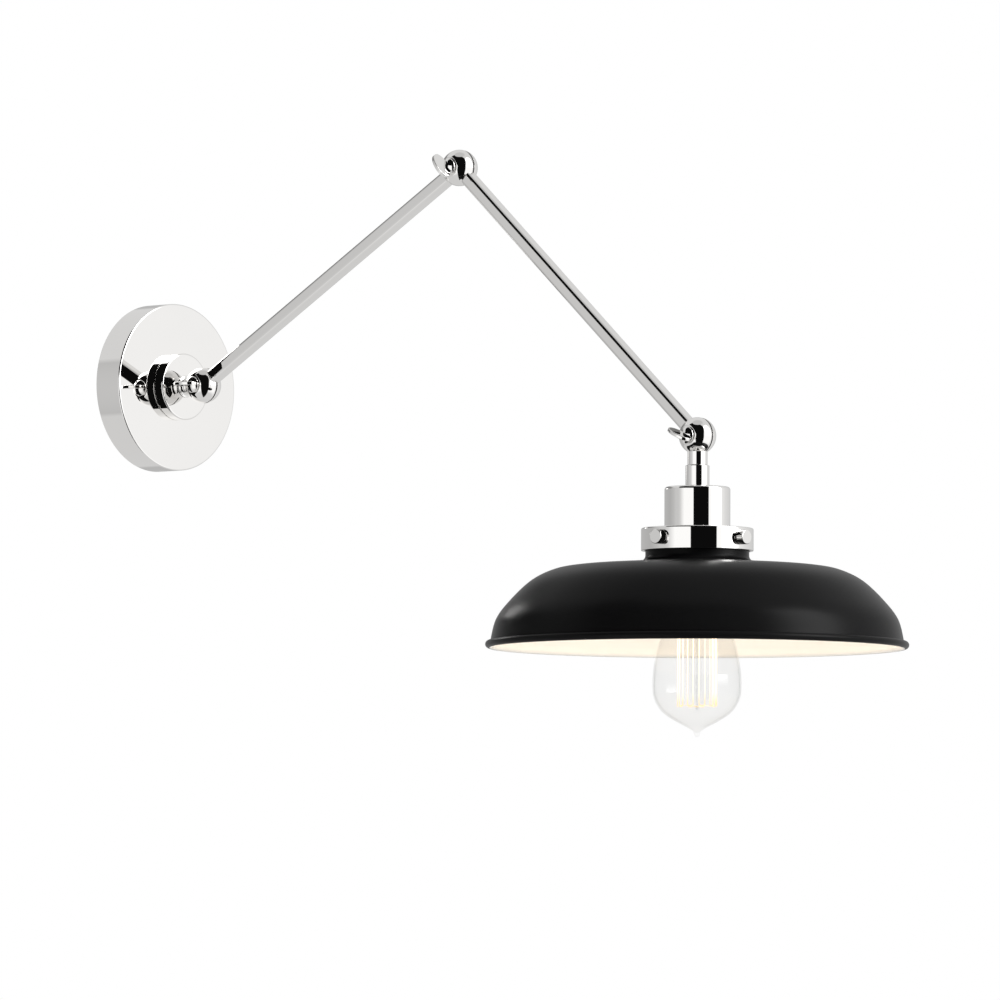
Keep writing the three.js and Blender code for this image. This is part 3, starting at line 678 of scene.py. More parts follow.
FILAMENT = Finish("glowing filament", "filament_wire", hot_wire, glows=True)
# the support wires' glow is painted on by their emission
SUPPORT = Finish("support wire with painted glow", "zinc_steel", painted_glow_wire, glows=True)
FLOOR = Finish("pale floor", None, painted_floor)


# ------------------------------------------------------------------ canopy and hub

HUB_HOLE = 8.3
BORE = 5.1
LEAD_RADIUS = 1.6


def canopy_shell(sizes):
    """Spun pan: a closed outline of its outside and inside, turned about the canopy's axis."""
    radius, wall, edge = sizes.radius / MM, sizes.wall / MM, sizes.edge / MM
    depth, inner = CANOPY_DEPTH, radius - wall
    return lathe([
        [inner, 0, 0.3], [radius, 0, 0.4], [radius, depth, edge], [HUB_HOLE, depth, 0.2],
        [HUB_HOLE, depth - wall, 0.2], [inner, depth - wall, 0.6],
    ], WALL, 256, True, 10)


def canopy_screw(side):
    """Flush side screw with a dished middle, turned about an upright axis."""
    low, high = corners("canopy_screw_top")
    radius, start, end = half_width("canopy_screw_top"), low[2], high[2] + 0.45
    dish = end - 0.5
    seat = Seat((0, (low[1] + high[1]) / 2, 0), (0, 0, side))
    return lathe([[0, start, 0], [radius, start, 0.15], [radius, end, 0.4],
                  [radius * 0.55, end, 0.1], [radius * 0.5, dish, 0.1], [0, dish, 0]],
                 seat, 48, steps=4)


def hub_disc(sizes):
    """Disc with a sleeve behind it: a closed outline turned about the canopy's axis."""
    radius, edge = sizes.hub_radius / MM, sizes.hub_edge / MM
    sleeve, sleeve_end = 8.0, HUB_BACK - 8
    return lathe([
        [BORE, sleeve_end, 0.2], [sleeve, sleeve_end, 0.3], [sleeve, HUB_BACK, 0.1],
        [radius, HUB_BACK, 0.5], [radius, HUB_FRONT, edge], [BORE, HUB_FRONT, 0.2],
    ], WALL, 192, True, 8)


def hexagon_nut(corner, bore, start, end, seat):
    """Hexagonal nut: the outline's radius is the flat's distance over the cosine of the angle from
    it, and each end is chamfered by pulling the outline in to a circle."""
    angle = np.linspace(0, 2 * np.pi, 96, endpoint=False)
    flat, chamfer, worn = corner * math.cos(math.pi / 6), 0.6, 0.985
    nearest = (angle + np.pi / 6) % (np.pi / 3) - np.pi / 6
    hexagon = np.minimum(flat / np.cos(nearest), corner * worn)
    hole, circle = np.full_like(angle, bore), np.full_like(angle, flat * worn)
    rings = [(hole, start), (circle, start), (hexagon, start + chamfer), (hexagon, end - chamfer),
             (circle, end), (hole, end)]
    radius = np.stack([ring for ring, _ in rings])
    height = np.array([h for _, h in rings])[:, None] + np.zeros_like(radius)
    grid = np.stack([radius * np.cos(angle), radius * np.sin(angle), height], -1)
    return Skin(grid, loop=True).at(seat)


def neck(seat):
    """Waisted neck behind a ball, and its spigot: a smooth curve and a plain run, turned."""
    curve = smooth_through([
        [0, 9], [7.6, 10.2], [6.4, 12.8], [5.75, 14.6], [5.8, 16.2], [6.9, 17.4], [8.1, 17.9],
        [8.4, 18.15], [8.35, 18.38], [7.9, 18.4], [4.8, 18.4]], 6)
    spigot = np.array([[4.8, 25.5], [4.6, 25.9], [0, 25.9]])
    return Skin(turned(np.concatenate([curve, spigot]), 96)).at(seat)


# ------------------------------------------------------------------ wiring

CONNECTOR_BASE = 3.5
CONNECTOR_HEIGHT = 15
CONNECTOR_OUT = 32
CONNECTOR_SPREAD = 20


def connector(side):
    """Ribbed cone: a turned outline whose radius also waves with the angle on its upper half."""
    base, tall, wide, mouth = CONNECTOR_BASE, CONNECTOR_HEIGHT, 4.6, 1.8
    outline = softened([
        [0, base, 0], [wide * 0.6, base, 0.8], [wide, base + tall * 0.7, 0.6],
        [wide, base + tall * 0.9, 0.4], [mouth, base + tall * 0.9, 0.2],
        [mouth, base + tall * 0.5, 0.2], [0, base + tall * 0.5, 0]], steps=5)
    rows = (outline[:, 0] > 2.5) & (outline[:, 1] < base + tall * 0.85)
    grid = knurled(outline, 96, 12, 0.07, rows)
    return Skin(grid + [CONNECTOR_OUT, side * CONNECTOR_SPREAD, 0]).at(WALL)


def supply(side):
    """Supply lead: a tube on a smooth curve from a connector's mouth into the hub's sleeve."""
    out, spread = CONNECTOR_OUT, side * CONNECTOR_SPREAD
    mouth = CONNECTOR_BASE + CONNECTOR_HEIGHT * 0.5 + 0.3
    top = CONNECTOR_BASE + CONNECTOR_HEIGHT * 0.9
    route = smooth_through([
        [out, spread, mouth], [out, spread, top], [28.5, side * 18.5, top + 2],
        [20, side * 12, top - 1], [10, side * 4, top - 7], [3, side * 2, top - 6],
        [0.5, side * 1.9, HUB_BACK - 7]], 10)
    return Skin(pipe(route, 1.2, 14)).at(WALL)


def lead(start, end, seat):
    """Straight bundle of leads along a seat's axis."""
    return Skin(pipe(np.linspace((0, 0, start), (0, 0, end), 24), LEAD_RADIUS, 16)).at(seat)


# ------------------------------------------------------------------ knuckles


def seam_face(radius, seam, side):
    """A half ball's flat face at the seam, from its middle to its broken edge."""
    edge = math.sqrt(radius**2 - seam**2)
    return [[0, seam], [edge - 0.6, seam], [edge - 0.2, seam], [edge - 0.04, seam + side * 0.12]]


def near_half(sizes, pivot):
    """Key side of a ball: pole flat, sphere, and the seam's face."""
    radius, flat = sizes.ball_radius / MM, sizes.pole_flat / MM
    seam = (sizes.seam_offset - sizes.seam_width / 2) / MM
    rim = math.degrees(math.asin((seam - 0.35) / radius))
    pole = math.degrees(math.asin(-flat / radius))
    sphere = arc_points((0, 0), radius, pole + 1.2, rim, 40)
    edge = math.sqrt(radius**2 - flat**2)
    start = [[0, -flat], [edge - 0.8, -flat], [edge - 0.35, -flat]]
    profile = np.concatenate([start, sphere, seam_face(radius, seam, -1)[::-1]])
    return Skin(turned_across(profile)).at(upright(pivot))


def far_half(sizes, pivot):
    """Far side of a ball, from the seam's face round to its plain pole."""
    radius = sizes.ball_radius / MM
    seam = (sizes.seam_offset + sizes.seam_width / 2) / MM
    rim = math.degrees(math.asin((seam + 0.35) / radius))
    sphere = arc_points((0, 0), radius, rim, 90, 44)
    sphere[-1] = (0, radius)
    profile = np.concatenate([seam_face(radius, seam, 1), sphere])
    return Skin(turned_across(profile)).at(upright(pivot))


def seam_washer(sizes, pivot):
    """Black friction washer that shows as the dark line round each ball."""
    radius, bore, gap = sizes.ball_radius / MM - 0.55, 4, 0.1
    near, far = ((sizes.seam_offset + side * sizes.seam_width / 2) / MM for side in (-1, 1))
    profile = [[bore, near + gap, 0.1], [radius, near + gap, 0.15], [radius, far - gap, 0.15],
               [bore, far - gap, 0.1]]
    return Skin(turned_across(softened(profile, True, 3)), loop=True).at(upright(pivot))


def key_skins(sizes, seat):
    """Wing key: a boss turned about X with a crowned end, an arc about a point on its axis, and an
    oval paddle with broken edges.

    The paddle is a grid of rings, ((a - e) cos u, (b - e) sin u, h): e and h run down the quarter
    round of the upper edge, the plain rim and the lower edge, and the face rings shrink to the
    middle.
    """
    flat, boss = sizes.pole_flat / MM, sizes.boss_radius / MM
    start, end = -flat - 0.1, -flat - 4.1
    crown = 8.5
    lowest = math.degrees(math.asin((boss - 0.3) / crown)) - 90
    cap = arc_points((0, end + crown), crown, lowest, -90, 14)
    cap[-1] = (0, end)
    brim = cap[0, 1]
    side = [[0, start], [boss - 0.4, start], [boss - 0.1, start - 0.1], [boss, start - 0.4],
            [boss, brim + 0.9], [boss, brim + 0.5], [boss - 0.08, brim + 0.2]]
    turned_boss = Skin(turned_across(np.concatenate([side, cap]), 72))
    a, b = sizes.paddle_width / 2 / MM, sizes.paddle_length / 2 / MM
    half, round_off = sizes.paddle_thickness / MM / 2, 0.45
    quarter = np.radians(np.linspace(90, 0, 9))
    inset = round_off * (1 - np.cos(quarter))
    height = half - round_off * (1 - np.sin(quarter))
    inset = np.concatenate([inset, [0, 0], inset[::-1]])
    height = np.concatenate([height, [height[-1] - 0.1, 0.1 - height[-1]], -height[::-1]])
    shrink = np.array([0.0, 0.35, 0.7, 0.93])
    u = np.linspace(0, 2 * np.pi, 96, endpoint=False)
    rim_a, rim_b = (a - inset)[:, None] * np.cos(u), (b - inset)[:, None] * np.sin(u)
    rim = np.stack([rim_a, rim_b, height[:, None] + 0 * rim_a], -1)
    top = rim[0] * shrink[:, None, None] * [1, 1, 0] + [0, 0, half]
    bottom = top[::-1] * [1, 1, -1]
    paddle = Skin(np.concatenate([top, rim, bottom]) + [-sizes.paddle_reach / MM, 0, 0])
    return [turned_boss.at(seat), paddle.at(seat)]


# ------------------------------------------------------------------ arms, stem, cup, collar


def arm_tube(sizes, ball, run, seat):
    """Square tube whose ends are cut to the balls: at (x, y) an end stands at the height where the
    ball's surface is, the root of radius squared less x squared less y squared."""
    side, wall, corner = sizes.side / MM, sizes.wall / MM, sizes.corner / MM
    outside = rounded_square(side, corner)
    inside = rounded_square(side - 2 * wall, max(corner - wall, 0.4))
    share = np.array([0, 0.002, 0.01, 0.1, 0.3, 0.5, 0.7, 0.9, 0.99, 0.998, 1])[:, None]

    def wall_of(outline):
        cut = np.sqrt((ball + 0.12) ** 2 - (outline**2).sum(1))[None]
        return swept(outline, cut + share * (run - 2 * cut))

    grid = np.concatenate([wall_of(outside), wall_of(inside)[::-1]])
    return Skin(grid, loop=True).at(seat)


def stem(radius, ball):
    """Stem from inside the ball down to its shoulder, then its threaded spigot."""
    shoulder, spigot, end = 21, 4.8, 43.3
    return lathe([[0, ball * 0.6, 0], [radius, ball * 0.6, 0.1], [radius, shoulder, 0.25],
                  [spigot, shoulder, 0.1], [spigot, end, 0.3], [0, end, 0]], HEAD, steps=5)


def coupler(radius):
    """Thicker sleeve round the stem's spigot."""
    top, bottom = 21.3, 36.5
    return lathe([[BORE, top, 0.2], [radius, top, 0.5], [radius, bottom, 0.3], [BORE, bottom, 0.2]],
                 HEAD, 96, True)


def cup(radius):
    """Socket cup, open below."""
    top, floor, bottom, inner = 36.8, 38.0, 66.4, radius - 1.2
    return lathe([[BORE, top, 0.1], [radius, top, 2.2], [radius, bottom, 0.2], [inner, bottom, 0.2],
                  [inner, floor, 1.2], [BORE, floor, 0.1]], HEAD, 160, True, 8)


def collar(radius):
    """Wide fitter ring that holds the shade's neck."""
    top, plate, bottom, bore, inner = 66.7, 68.7, 83.1, 18.3, radius - 2.3
    return lathe([[bore, top, 0.1], [radius, top, 1.1], [radius, bottom, 0.4], [inner, bottom, 0.3],
                  [inner, plate, 0.6], [bore, plate, 0.1]], HEAD, 224, True, 7)


def thumb_screw(radius, seat):
    """Thumb screw: a plain shank, and a head whose side is a fine knurl, the radius rising and
    falling with the angle between two plain chamfers."""
    tip, start, end, shank = 37.7, 40.8, 46.7, 2.0
    outline = softened([[0, tip, 0], [shank, tip, 0.3], [shank, start, 0.1], [radius, start, 0.5],
                        [radius, end, 0.55], [0, end, 0]], steps=5)
    return Skin(knurled(outline, 144, 36, 0.02, outline[:, 0] > radius - 0.05)).at(seat)


# ------------------------------------------------------------------ shade


def shade_outline(sizes):
    """Outside of the dome from the neck's top to the rolled rim, as [radius, depth] points."""
    neck, bead = sizes.neck_radius / MM, sizes.bead / MM
    height, crown, fillet = 153.3, 90.4, 4.0
    drop, wide, rim = height - crown, sizes.radius / MM - bead, height - bead
    corner = arc_points((neck + fillet, crown - fillet), fillet, 180, 96, 10)
    dome = smooth_through([
        [neck + fillet, crown],
        [wide * 0.42, crown + drop * 0.034],
        [wide * 0.61, crown + drop * 0.066],
        [wide * 0.707, crown + drop * 0.117],
        [wide * 0.803, crown + drop * 0.237],
        [wide * 0.898, crown + drop * 0.452],
        [wide * 0.966, crown + drop * 0.668],
        [wide - sizes.wall / MM, rim - bead],
    ], 12)
    return corner, dome, wide, rim


def shade_skin(sizes):
    """Dome as one closed profile turned about its axis: outside, rolled rim, lining, neck."""
    corner, dome, wide, rim = shade_outline(sizes)
    neck, wall, bead = sizes.neck_radius / MM, sizes.wall / MM, sizes.bead / MM
    lip_top, lip = 69.0, 37.9
    outside = np.concatenate([[[neck, lip_top + 2.2], [neck, lip_top + 8]], corner[:-1], dome[1:]])
    rolled = arc_points((wide, rim), bead, -70, 190, 28)
    inside = shifted(outside, wall)[::-1]
    top = np.array([[neck - wall, lip_top + 0.2], [neck - wall + 0.2, lip_top],
                    [lip - 0.2, lip_top], [lip, lip_top + 0.2], [lip, lip_top + wall]])
    profile = np.concatenate([outside, rolled, inside[1:], top])
    lined = np.zeros(len(profile), int)
    lined[len(outside) + 18:len(profile) - len(top)] = 1
    return Skin(turned(profile, 288), loop=True, finish=lined).at(HEAD)


# ------------------------------------------------------------------ socket and bulb

CAP_TOP = 73.5
CAP_BOTTOM = 98.5
CAP_RADIUS = 12.7
CAGE_RADIUS = 14.1
CAGE_TOP = 110.0
CAGE_BOTTOM = 195.0
FIRST_STRAND = 0.2


def socket_body():
    """Lamp holder: a cup turned about the head's axis, closed at its top."""
    top, floor, bottom, outer, inner = 45.0, 62.5, 96, 17.5, 13.9
    return lathe([[0, top, 0], [outer, top, 1.2], [outer, bottom, 0.8], [inner, bottom, 0.5],
                  [inner, floor, 0.5], [0, floor, 0]], HEAD, 128)


def screw_shell():
    """Rolled thread of the socket's shell: its radius waves along its length."""
    low, high = corners("screw_shell")
    top, bottom = SHADE_PIVOT[2] - high[2], SHADE_PIVOT[2] - low[2]
    height = np.linspace(top, bottom, 90)
    wave = 0.12 * np.sin((height - top) * 2 * np.pi / 3.6)
    outer = np.stack([13.5 + wave, height], 1)
    profile = np.concatenate([outer, (outer - [0.35, 0])[::-1]])
    return Skin(turned(profile, 96), True).at(HEAD)


def bulb_cap():
    """Edison cap: rounded thread between the contact's cone and the plain skirt."""
    top, bottom, radius, seat = CAP_TOP, CAP_BOTTOM, CAP_RADIUS, 4.7
    height = np.linspace(top + 4.2, bottom - 4.5, 84)
    wave = 0.45 * (np.sin((height - top) * 2 * np.pi / 3.62) - 1)
    thread = np.stack([radius + wave, height], 1)
    cone = [[seat, top], [seat + 1.2, top]]
    skirt = [[radius - 0.1, bottom - 4], [radius, bottom - 3.4], [radius, bottom]]
    inside = [[radius - 0.6, bottom], [radius - 1.5, bottom - 6], [radius - 1.5, top + 5],
              [seat, top + 1.2]]
    return Skin(turned(np.concatenate([cone, thread, skirt, inside]), 96), True).at(HEAD)


def glass(sizes):
    """Pear-shaped bulb with a drawn tip: inside and outside are one closed run, turned."""
    radius, wall = sizes.radius / MM, sizes.wall / MM
    cap, widest = CAP_BOTTOM, 181.0
    swell, seat = widest - cap, 11.8
    body = smooth_through([
        [seat, cap - 8], [seat, cap - 1], [15, cap + 4],
        [radius * 0.54, cap + swell * 0.24], [radius * 0.69, cap + swell * 0.42],
        [radius * 0.865, cap + swell * 0.62], [radius * 0.975, cap + swell * 0.83],
        [radius, widest], [radius * 0.96, widest + 8.6], [radius * 0.836, widest + 15.8],
        [radius * 0.7, widest + 20.1], [radius * 0.483, widest + 24.5],
        [radius * 0.232, widest + 28.8], [radius * 0.1, widest + 31.6],
        [radius * 0.07, widest + 33.0],
    ], 12)
    inside = shifted(body, wall)[::-1]
    inside = inside[inside[:, 0] > 0.5]
    tip = np.array([[1.9, 34.2], [1.5, 35.3], [0.8, 35.9], [0, 36]]) + [0, widest]
    profile = np.concatenate([[[0, inside[0, 1]]], inside, body, tip])
    return Skin(turned(profile, 128)).at(HEAD)


def mount():
    """Flared glass foot, its pinched stem, and the rod that carries the spiders."""
    profile = smooth_through([
        [0, 92.4], [9.6, 92.5], [10.1, 93.0], [8.2, 94.2], [4.6, 96.4], [3.3, 99.5], [3.0, 103.5],
        [2.6, 106.5], [1.1, 109.0], [0.8, 150], [0.8, 193.5], [0.7, 194.7], [0.4, 195.1],
        [0, 195.2],
    ], 8)
    return Skin(turned(profile, 48)).at(HEAD)


def strand_step(strands):
    """Angle from one run of the filament to the next, a little less than its share of the turn."""
    return 2 * np.pi / (2 * strands + 0.6)


def spider(depth, run, strands):
    """Hub ring with thin wire spokes, each drooping between the ring and a strand."""
    hub, thick, spokes = 1.3, 0.5, strands // 2
    lean = np.linspace(0, 1, 14)
    radius = hub + (CAGE_RADIUS - 0.2 - hub) * lean
    droop = 0.8 * np.sin(lean * np.pi)
    made = [flat_ring(0.9, 1.5, depth - thick, depth + thick, HEAD)]
    turn = FIRST_STRAND + run * strand_step(strands)
    for angle in turn + np.arange(spokes) * 2 * np.pi / spokes:
        path = np.stack([radius * np.cos(angle), radius * np.sin(angle), depth - droop], 1)
        made.append(Skin(pipe(path, 0.16, 8)).at(HEAD))
    return made


def filament(strands):
    """One wire that runs up and down round the cage.

    Along the wire the angle steps on while the height swings between the spiders: the height is a
    clipped triangle wave, so each strand is straight and each bend is a small arc between two
    strands.
    """
    top, bottom, bends = CAGE_TOP + 1.5, CAGE_BOTTOM - 1.5, 2 * strands
    t = np.linspace(0, bends, bends * 22 + 1)
    part = t % 1
    rising = (t.astype(int) % 2) == 0
    straight = np.clip(part / 0.86, 0, 1)
    over = np.clip((part - 0.86) / 0.14, 0, 1)
    turn = (t.astype(int) + (1 - np.cos(np.pi * over)) / 2) * strand_step(strands) + FIRST_STRAND
    height = np.where(rising, top + (bottom - top) * straight, bottom - (bottom - top) * straight)
    height = height + np.where(rising, 1, -1) * 1.3 * np.sin(np.pi * over)
    path = np.stack([CAGE_RADIUS * np.cos(turn), CAGE_RADIUS * np.sin(turn), height], 1)
    return Skin(pipe(path, 0.21, 8)).at(HEAD)


# ------------------------------------------------------------------ operators


class PieceOperator:
    """Makes each of its pieces: rows of name, body, replaced node, skins and finishes."""

    bl_options = {"REGISTER", "UNDO"}

    def execute(self, context):
        for row in self.pieces(context.scene):
            make(*row)
        return {"FINISHED"}


def give(node, finish):
    """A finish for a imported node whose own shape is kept."""
    shown = frame["nodes"][node]
    shown.data.materials.clear()
    shown.data.materials.append(finish.material())


class SCONCE_OT_canopy(PieceOperator, bpy.types.Operator):
    """Make the wall canopy with its screws, crossbar and wiring"""

    bl_idname = "sconce.canopy"
    bl_label = "Canopy"

    def pieces(self, scene):
        give("crossbar", ZINC)
        give("ground_screw", GREEN)
        body, shell = "canopy_body", canopy_shell(scene.sconce_canopy)
        yield "canopy_pan", body, "canopy", [shell], NICKEL
        for place, side in (("top", 1), ("bottom", -1)):
            yield ("canopy_set_screw_" + place, body, "canopy_screw_" + place, [canopy_screw(side)],
                   NICKEL)
        washer = flat_ring(HUB_HOLE, 12, 21.4, 22.2, WALL)
        yield "friction_ring", body, "friction_washer", [washer], ZINC
        for name, side in (("live", 1), ("neutral", -1)):
            yield "connector_" + name, body, "wire_nut_" + name, [connector(side)], CONNECTOR
            yield "supply_wire_" + name, body, "supply_lead_" + name, [supply(side)], INSULATION


class SCONCE_OT_hub(PieceOperator, bpy.types.Operator):
    """Make the swivelling hub, its nut and the neck that carries the first ball"""

    bl_idname = "sconce.hub"
    bl_label = "Hub"

    def pieces(self, scene):
        seat = Seat(WALL_PIVOT, -OUTWARD)
        nut = hexagon_nut(13, HUB_HOLE, 16.9, 21.1, WALL)
        ball = near_half(scene.sconce_knuckle, WALL_PIVOT)
        return [
            ("hub_plate", "hub", "hub_disc", [hub_disc(scene.sconce_canopy)], NICKEL),
            ("hub_lock_nut", "hub", "hub_nut", [nut], BRASS),
            ("neck_and_ball", "hub", "wall_neck", [ball, neck(seat)], NICKEL),
            ("neck_wire", "hub", "neck_lead", [lead(14.1, 25.2, seat)], INSULATION),
        ]


class SCONCE_OT_knuckles(PieceOperator, bpy.types.Operator):
    """Make the ball halves and washers that ride on the arms"""

    bl_idname = "sconce.knuckles"
    bl_label = "Knuckles"

    def pieces(self, scene):
        rows = [
            ("wall_ball_cap", "lower_arm", "wall_knuckle_cap", far_half, WALL_PIVOT, NICKEL),
            ("elbow_ball_near", "lower_arm", "elbow_inner_half", near_half, ELBOW_PIVOT, NICKEL),
            ("elbow_ball_far", "outer_arm", "elbow_outer_half", far_half, ELBOW_PIVOT, NICKEL),
            ("shade_ball_cap", "outer_arm", "shade_knuckle_cap", far_half, SHADE_PIVOT, NICKEL),
            ("wall_seam", "hub", "wall_knuckle_washer", seam_washer, WALL_PIVOT, NYLON),
            ("elbow_seam", "lower_arm", "elbow_washer", seam_washer, ELBOW_PIVOT, NYLON),
            ("shade_seam", "outer_arm", "shade_knuckle_washer", seam_washer, SHADE_PIVOT, NYLON),
        ]
        for name, body, node, shape, pivot, finish in rows:
            yield name, body, node, [shape(scene.sconce_knuckle, pivot)], finish


class SCONCE_OT_keys(PieceOperator, bpy.types.Operator):
    """Make the three wing keys that clamp the knuckles"""

    bl_idname = "sconce.keys"
    bl_label = "Wing Keys"

    turns = (("wall", WALL_PIVOT, 0.0), ("elbow", ELBOW_PIVOT, 58.0), ("shade", SHADE_PIVOT, 27.0))

    def pieces(self, scene):
        for place, pivot, turn in self.turns:
            angle = math.radians(turn)
            seat = Seat(pivot, (0, -math.sin(angle), math.cos(angle)))
            key = place + "_key"
            yield place + "_wing", key, key, key_skins(scene.sconce_knuckle, seat), NICKEL


class SCONCE_OT_arms(PieceOperator, bpy.types.Operator):
    """Make the two square-tube arms and the leads inside them"""

    bl_idname = "sconce.arms"
    bl_label = "Arms"

    def pieces(self, scene):
        ball = scene.sconce_knuckle.ball_radius / MM
        for arm, seat, run in (("lower_arm", LOWER, LOWER_ARM), ("outer_arm", OUTER, OUTER_ARM)):
            reach, clear = float(np.linalg.norm(run)), ball + 0.6
            tube = arm_tube(scene.sconce_arms, ball, reach, seat)
            yield arm + "_bar", arm, arm + "_tube", [tube], NICKEL
            yield arm + "_wire", arm, arm + "_lead", [lead(clear, reach - clear, seat)], INSULATION


class SCONCE_OT_stem(PieceOperator, bpy.types.Operator):
    """Make the stem, coupler, socket cup and shade collar"""

    bl_idname = "sconce.stem"
    bl_label = "Stem and Collar"

    def pieces(self, scene):
        sizes, knuckle = scene.sconce_stem, scene.sconce_knuckle
        ball = near_half(knuckle, SHADE_PIVOT)
        shank = stem(sizes.radius / MM, knuckle.ball_radius / MM)
        nut = hexagon_nut(8.8, BORE, 38.3, 42.3, HEAD)
        return [
            ("stem_and_ball", "head", "shade_stem", [ball, shank], NICKEL),
            ("stem_sleeve", "head", "stem_coupler", [coupler(sizes.coupler_radius / MM)], NICKEL),
            ("cup", "head", "socket_cup", [cup(sizes.cup_radius / MM)], NICKEL),
            ("collar", "head", "shade_collar", [collar(sizes.collar_radius / MM)], NICKEL),
            ("cup_nut", "head", "stem_nut", [nut], BRASS),
            ("stem_wire", "head", "stem_lead", [lead(14.1, 42.0, HEAD)], INSULATION),
        ]


class SCONCE_OT_collar_screws(PieceOperator, bpy.types.Operator):
    """Make the four knurled thumb screws round the collar"""

    bl_idname = "sconce.collar_screws"
    bl_label = "Thumb Screws"

    directions = {"right": (1, 0, 0), "front": (0, -1, 0), "left": (-1, 0, 0), "back": (0, 1, 0)}

    def pieces(self, scene):
        for place, direction in self.directions.items():
            body = "screw_" + place
            axis = (SHADE_PIVOT[0], SHADE_PIVOT[1], joint_place(body + "_turn")[2])
            seat = Seat(axis, direction, np.array([0.0, 0.0, 1.0]))
            screw = thumb_screw(scene.sconce_stem.screw_radius / MM, seat)
            yield "thumb_" + body, body, "collar_" + body, [screw], NICKEL


class SCONCE_OT_shade(PieceOperator, bpy.types.Operator):
    """Make the spun dome shade, black outside and warm white inside"""

    bl_idname = "sconce.shade"
    bl_label = "Shade"

    def pieces(self, scene):
        return [("dome_shade", "head", "shade", [shade_skin(scene.sconce_shade)], ENAMEL, LINING)]


class SCONCE_OT_socket(PieceOperator, bpy.types.Operator):
    """Make the lamp holder inside the collar"""

    bl_idname = "sconce.socket"
    bl_label = "Lamp Holder"

    def pieces(self, scene):
        contact = pin(3.5, 62.8, 71.2, 0.2, 0.7, HEAD, 5)
        strap = flat_ring(6.1, 15.5, 42.6, 43.6, HEAD)
        return [
            ("lamp_holder", "head", "socket_body", [socket_body()], PORCELAIN),
            ("holder_thread", "head", "screw_shell", [screw_shell()], BRASS),
            ("holder_contact", "head", "socket_contact", [contact], BRASS),
            ("holder_strap", "head", "socket_strap", [strap], ZINC),
        ]


class SCONCE_OT_bulb(PieceOperator, bpy.types.Operator):
    """Make the clear bulb with its cap, mount, spiders and glowing filament"""

    bl_idname = "sconce.bulb"
    bl_label = "Bulb"

    def pieces(self, scene):
        sizes, strands = scene.sconce_bulb, scene.sconce_bulb.strands
        insulator = pin(4.4, 72.6, 75.1, 0.5, 0.3, HEAD)
        button = pin(3.0, 71.5, 72.3, 0.5, 0.1, HEAD)
        upper, lower = spider(CAGE_TOP, 1.5, strands), spider(CAGE_BOTTOM, 0.5, strands)
        return [
            ("bulb_envelope", "bulb", "bulb_glass", [glass(sizes)], GLASS),
            ("filament_stem", "bulb", "filament_mount", [mount()], GLASS),
            ("bulb_screw_cap", "bulb", "bulb_cap", [bulb_cap()], CAP),
            ("cap_insulator", "bulb", "bulb_insulator", [insulator], NYLON),
            ("cap_contact", "bulb", "bulb_contact", [button], CAP),
            ("spider_upper", "bulb", "filament_spider_top", upper, SUPPORT),
            ("spider_lower", "bulb", "filament_spider_bottom", lower, SUPPORT),
            ("filament_wire", "bulb", "filament", [filament(strands)], FILAMENT),
        ]


